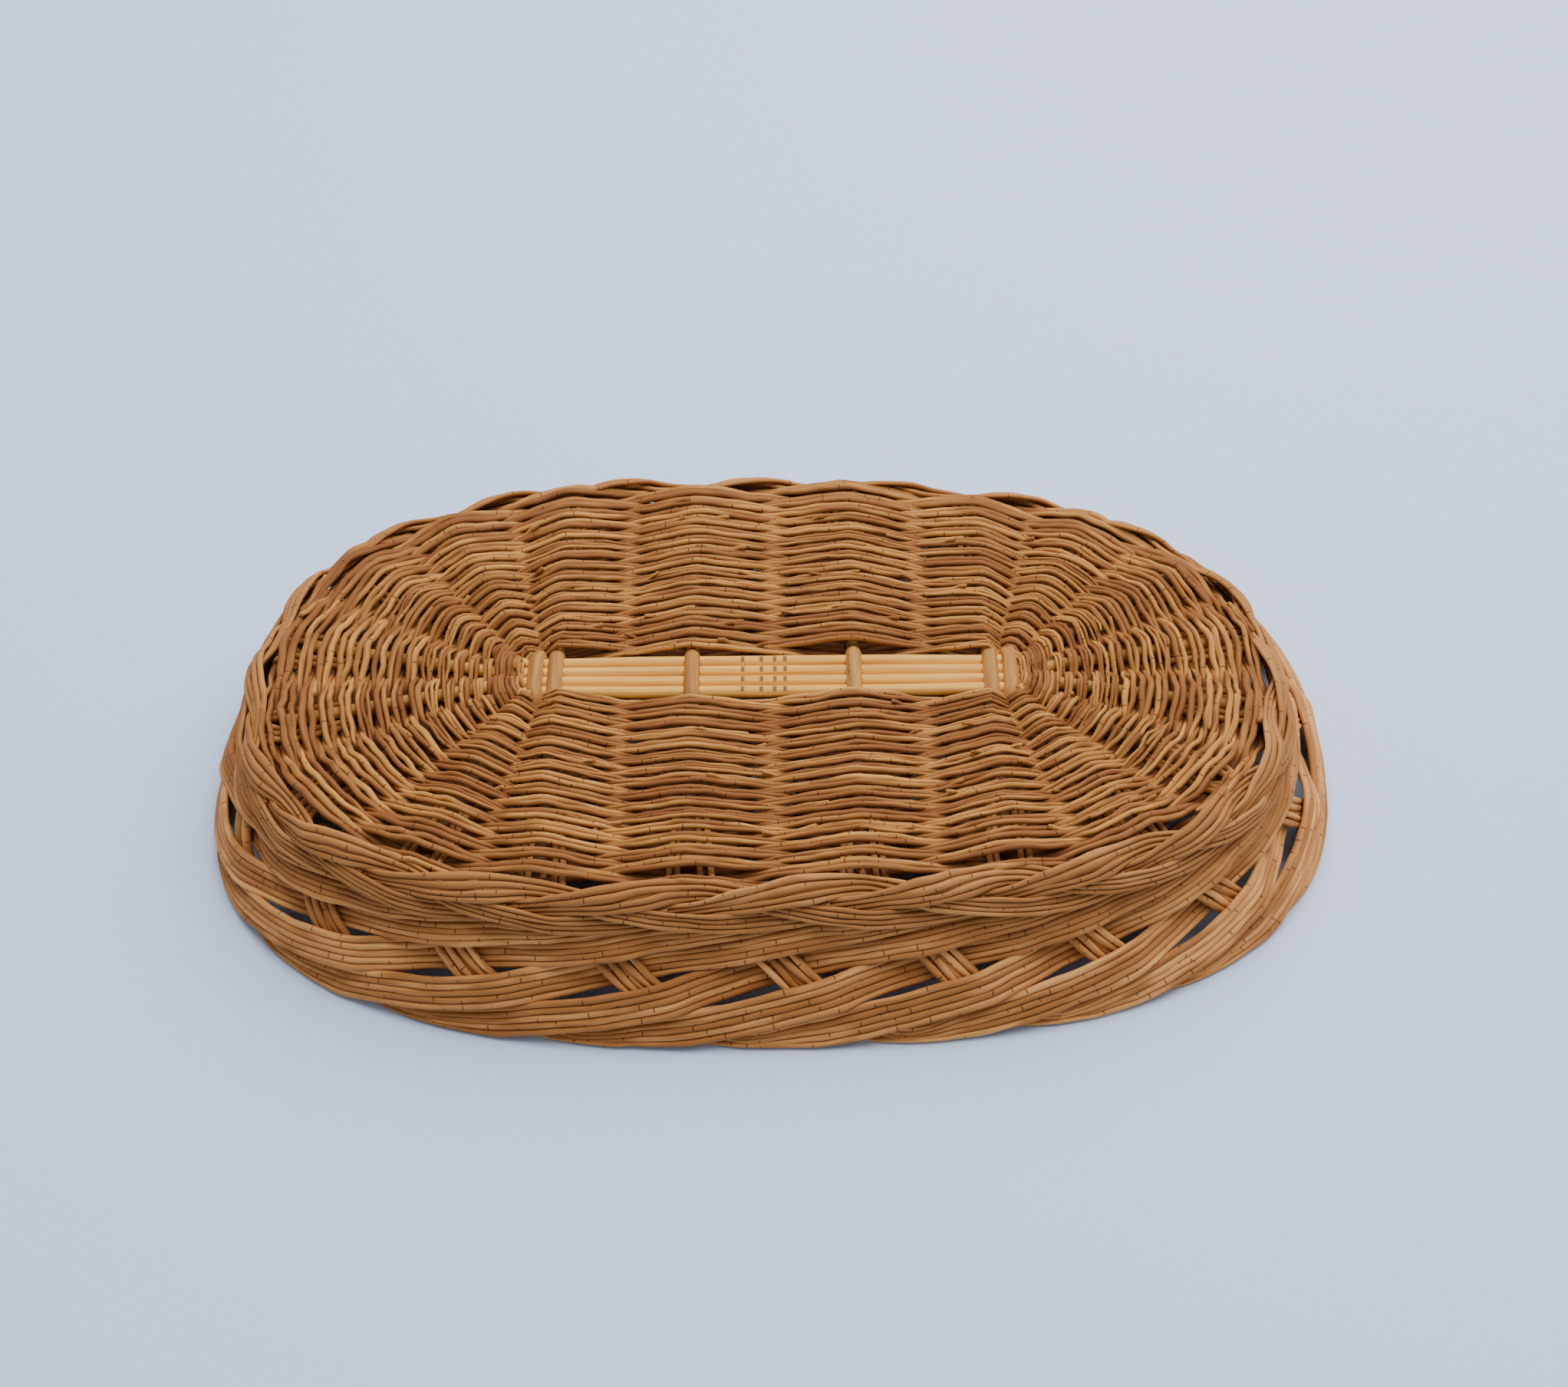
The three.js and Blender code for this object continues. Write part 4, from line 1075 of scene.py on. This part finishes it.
class BASKET_OT_long_sticks(bpy.types.Operator):
    """Lays the four peeled long sticks through the base and fans their ends out to its edge"""
    bl_idname = "basket.long_sticks"
    bl_label = "Long sticks"

    def execute(self, context):
        radius = context.scene.basket_sizes.stick_diameter / MM / 2
        for index in range(4):
            sideways = (index - 1.5) * LONG_STICK_PITCH
            left, right = [stick_half(*fan_rib(sign, fan[index + 1]), FAN_BEND,
                                      (outer + sign * PAST_CROSS_STICK, sideways),
                                      (sign * STICK_STRAIGHT, sideways))
                           for sign, fan, outer in (LEFT_FAN, RIGHT_FAN)]
            places = stick_places(left + right[::-1])
            places = np.column_stack([places, np.full(len(places), BASE_MIDDLE_HEIGHT)])
            taper = np.interp(np.hypot(places[:, 0], places[:, 1]), (85, 105, 165), (1.0, 0.98, 0.92))
            # The sticks darken where they run under the weaving, as painted shade; the inner two stay paler
            # out to the edge, most of all at the left
            deepest_shade = np.where(places[:, 0] < 0, 0.3, 0.6) if index in (1, 2) else 0.95
            shaded_under_weave = np.interp(np.abs(places[:, 0]), (88, 96), (0.0, 1.0)) * deepest_shade
            piece = bent_rod(f"peeled_stick_{index + 1}", places, upward(places), radius * taper,
                             radius * 0.92 * taper, 0.1 + 0.23 * index, shaded_under_weave, corners=14)
            dress(piece, "peeled_willow_long_sticks", "long_sticks", f"long_stick_{index + 1}")
        return {"FINISHED"}


class BASKET_OT_cross_sticks(bpy.types.Operator):
    """Sets the six cross sticks over the long ones, the outer two splayed out into the fans"""
    bl_idname = "basket.cross_sticks"
    bl_label = "Cross sticks"

    def execute(self, context):
        radius = context.scene.basket_sizes.stick_diameter / MM / 2
        for index, place in enumerate(CROSS_STICK_PLACES):
            outermost = index in (0, len(CROSS_STICK_PLACES) - 1)
            sign, fan, _ = LEFT_FAN if index == 0 else RIGHT_FAN
            halves = []
            for side, degrees in ((-1, fan[0]), (1, fan[-1])):
                rib = fan_rib(sign, degrees) if outermost else cross_rib(place, side)
                halves.append(stick_half(*rib, SPLAY_BEND,
                                         *[(place, side * straight) for straight in CROSS_STICK_STRAIGHT]))
            places = stick_places(halves[0] + [np.array([place, 0.0])] + halves[1][::-1])
            from_middle = np.abs(places[:, 1])
            sinking = CROSS_STICK_SINKING[0 if outermost else 1] * smooth_step((from_middle - 8) / 6)
            places = np.column_stack([places, BASE_MIDDLE_HEIGHT - sinking])
            middle = np.exp(-((places[:, 1] / CROSS_STICK_MIDDLE) ** 6))
            taper = np.interp(from_middle, (14, 25, 95), (1.0, 1.05, 1.05))
            # Darker where the stick runs under the weaving: painted shade
            shaded_under_weave = np.interp(from_middle, (12, 20), (0.0, 0.95))
            half_width = radius * taper + CROSS_STICK_SWELL[0] * middle
            half_height = radius * 0.95 * taper + CROSS_STICK_SWELL[1] * middle
            piece = bent_rod(f"cross_rib_{index + 1}", places, upward(places), half_width, half_height,
                             0.05 + 0.17 * index, shaded_under_weave, corners=16)
            dress(piece, "weathered_willow_cross_sticks", "cross_sticks", f"cross_stick_{index + 1}")
        return {"FINISHED"}


class BASKET_OT_stage(bpy.types.Operator):
    """Sets the plain pale floor, the soft lights and the camera"""
    bl_idname = "basket.stage"
    bl_label = "Stage"

    def execute(self, context):
        stage = context.scene.basket_stage
        deselect_all()
        bpy.ops.mesh.primitive_plane_add(size=stage.floor_size, location=(0, 0, 0))
        floor = context.object
        floor.name = "floor"
        nodes = Nodes("pale_floor")
        patch = nodes.add("TexNoise", nodes.add("TexCoord")["Object"], None, 3.0, 3.0, 0.5)[0]
        tint = nodes.layered(stage.floor_colour, (nodes.mark(0.12, patch), stage.floor_shade))
        floor.data.materials.append(nodes.finished(tint, 0.9, 0.2))
        place = np.array(KEY_LIGHT_PLACE)
        deselect_all()
        bpy.ops.object.light_add(type="AREA", location=place)
        lamp = context.object
        lamp.name = "key_light"
        lamp.data.size = KEY_LIGHT_SIZE
        lamp.data.energy = stage.key_power
        lamp.rotation_euler = (math.acos(place[2] / np.linalg.norm(place)), 0,
                               math.atan2(-place[1], -place[0]) - math.pi / 2)
        world = bpy.data.worlds.new("even_light")
        world.use_nodes = True
        background = world.node_tree.nodes["Background"]
        background.inputs[0].default_value = stage.world_colour
        background.inputs[1].default_value = stage.world_strength
        context.scene.world = world
        deselect_all()
        bpy.ops.object.camera_add()
        camera = context.object
        camera.name = "photo_camera"
        camera.data.sensor_width = CAMERA_SENSOR
        camera.data.lens = CAMERA_LENS
        camera.data.clip_start = 0.01
        place = (np.array(CAMERA_PLACE) + CENTRE) * MM
        columns = np.column_stack([CAMERA_RIGHT, CAMERA_UP, CAMERA_BACK, place])
        camera.matrix_world = Matrix([*columns.tolist(), [0, 0, 0, 1]])
        context.scene.camera = camera
        return {"FINISHED"}


class BASKET_PT_panel(bpy.types.Panel):
    """Lists the basket's pieces in the sidebar"""
    bl_idname = "BASKET_PT_panel"
    bl_label = "Oval wicker basket"
    bl_space_type = "VIEW_3D"
    bl_region_type = "UI"
    bl_category = "Wicker basket"

    def draw(self, context):
        column = self.layout.column()
        for settings in SETTINGS:
            group = getattr(context.scene, settings)
            for name in group.__annotations__:
                column.prop(group, name)
        for piece in PIECES:
            column.operator(piece.bl_idname)


PIECES = (BASKET_OT_long_sticks, BASKET_OT_cross_sticks, BASKET_OT_base_weave, BASKET_OT_side_rods,
          BASKET_OT_stage)
SETTINGS = {"basket_sizes": BasketSizes, "basket_colours": BasketColours, "basket_stage": StageSettings}
CLASSES = (*SETTINGS.values(), *PIECES, BASKET_PT_panel)


def register():
    for item in CLASSES:
        bpy.utils.register_class(item)
    for name, group in SETTINGS.items():
        setattr(bpy.types.Scene, name, bpy.props.PointerProperty(type=group))


def unregister():
    for name in SETTINGS:
        delattr(bpy.types.Scene, name)
    for item in reversed(CLASSES):
        bpy.utils.unregister_class(item)


def main():
    register()
    bpy.ops.basket.long_sticks()
    bpy.ops.basket.cross_sticks()
    bpy.ops.basket.base_weave()
    bpy.ops.basket.side_rods()
    bpy.ops.basket.stage()
    for mesh, _ in STRAIGHT_RODS.values():
        bpy.data.meshes.remove(mesh)


if __name__ == "__main__":
    main()
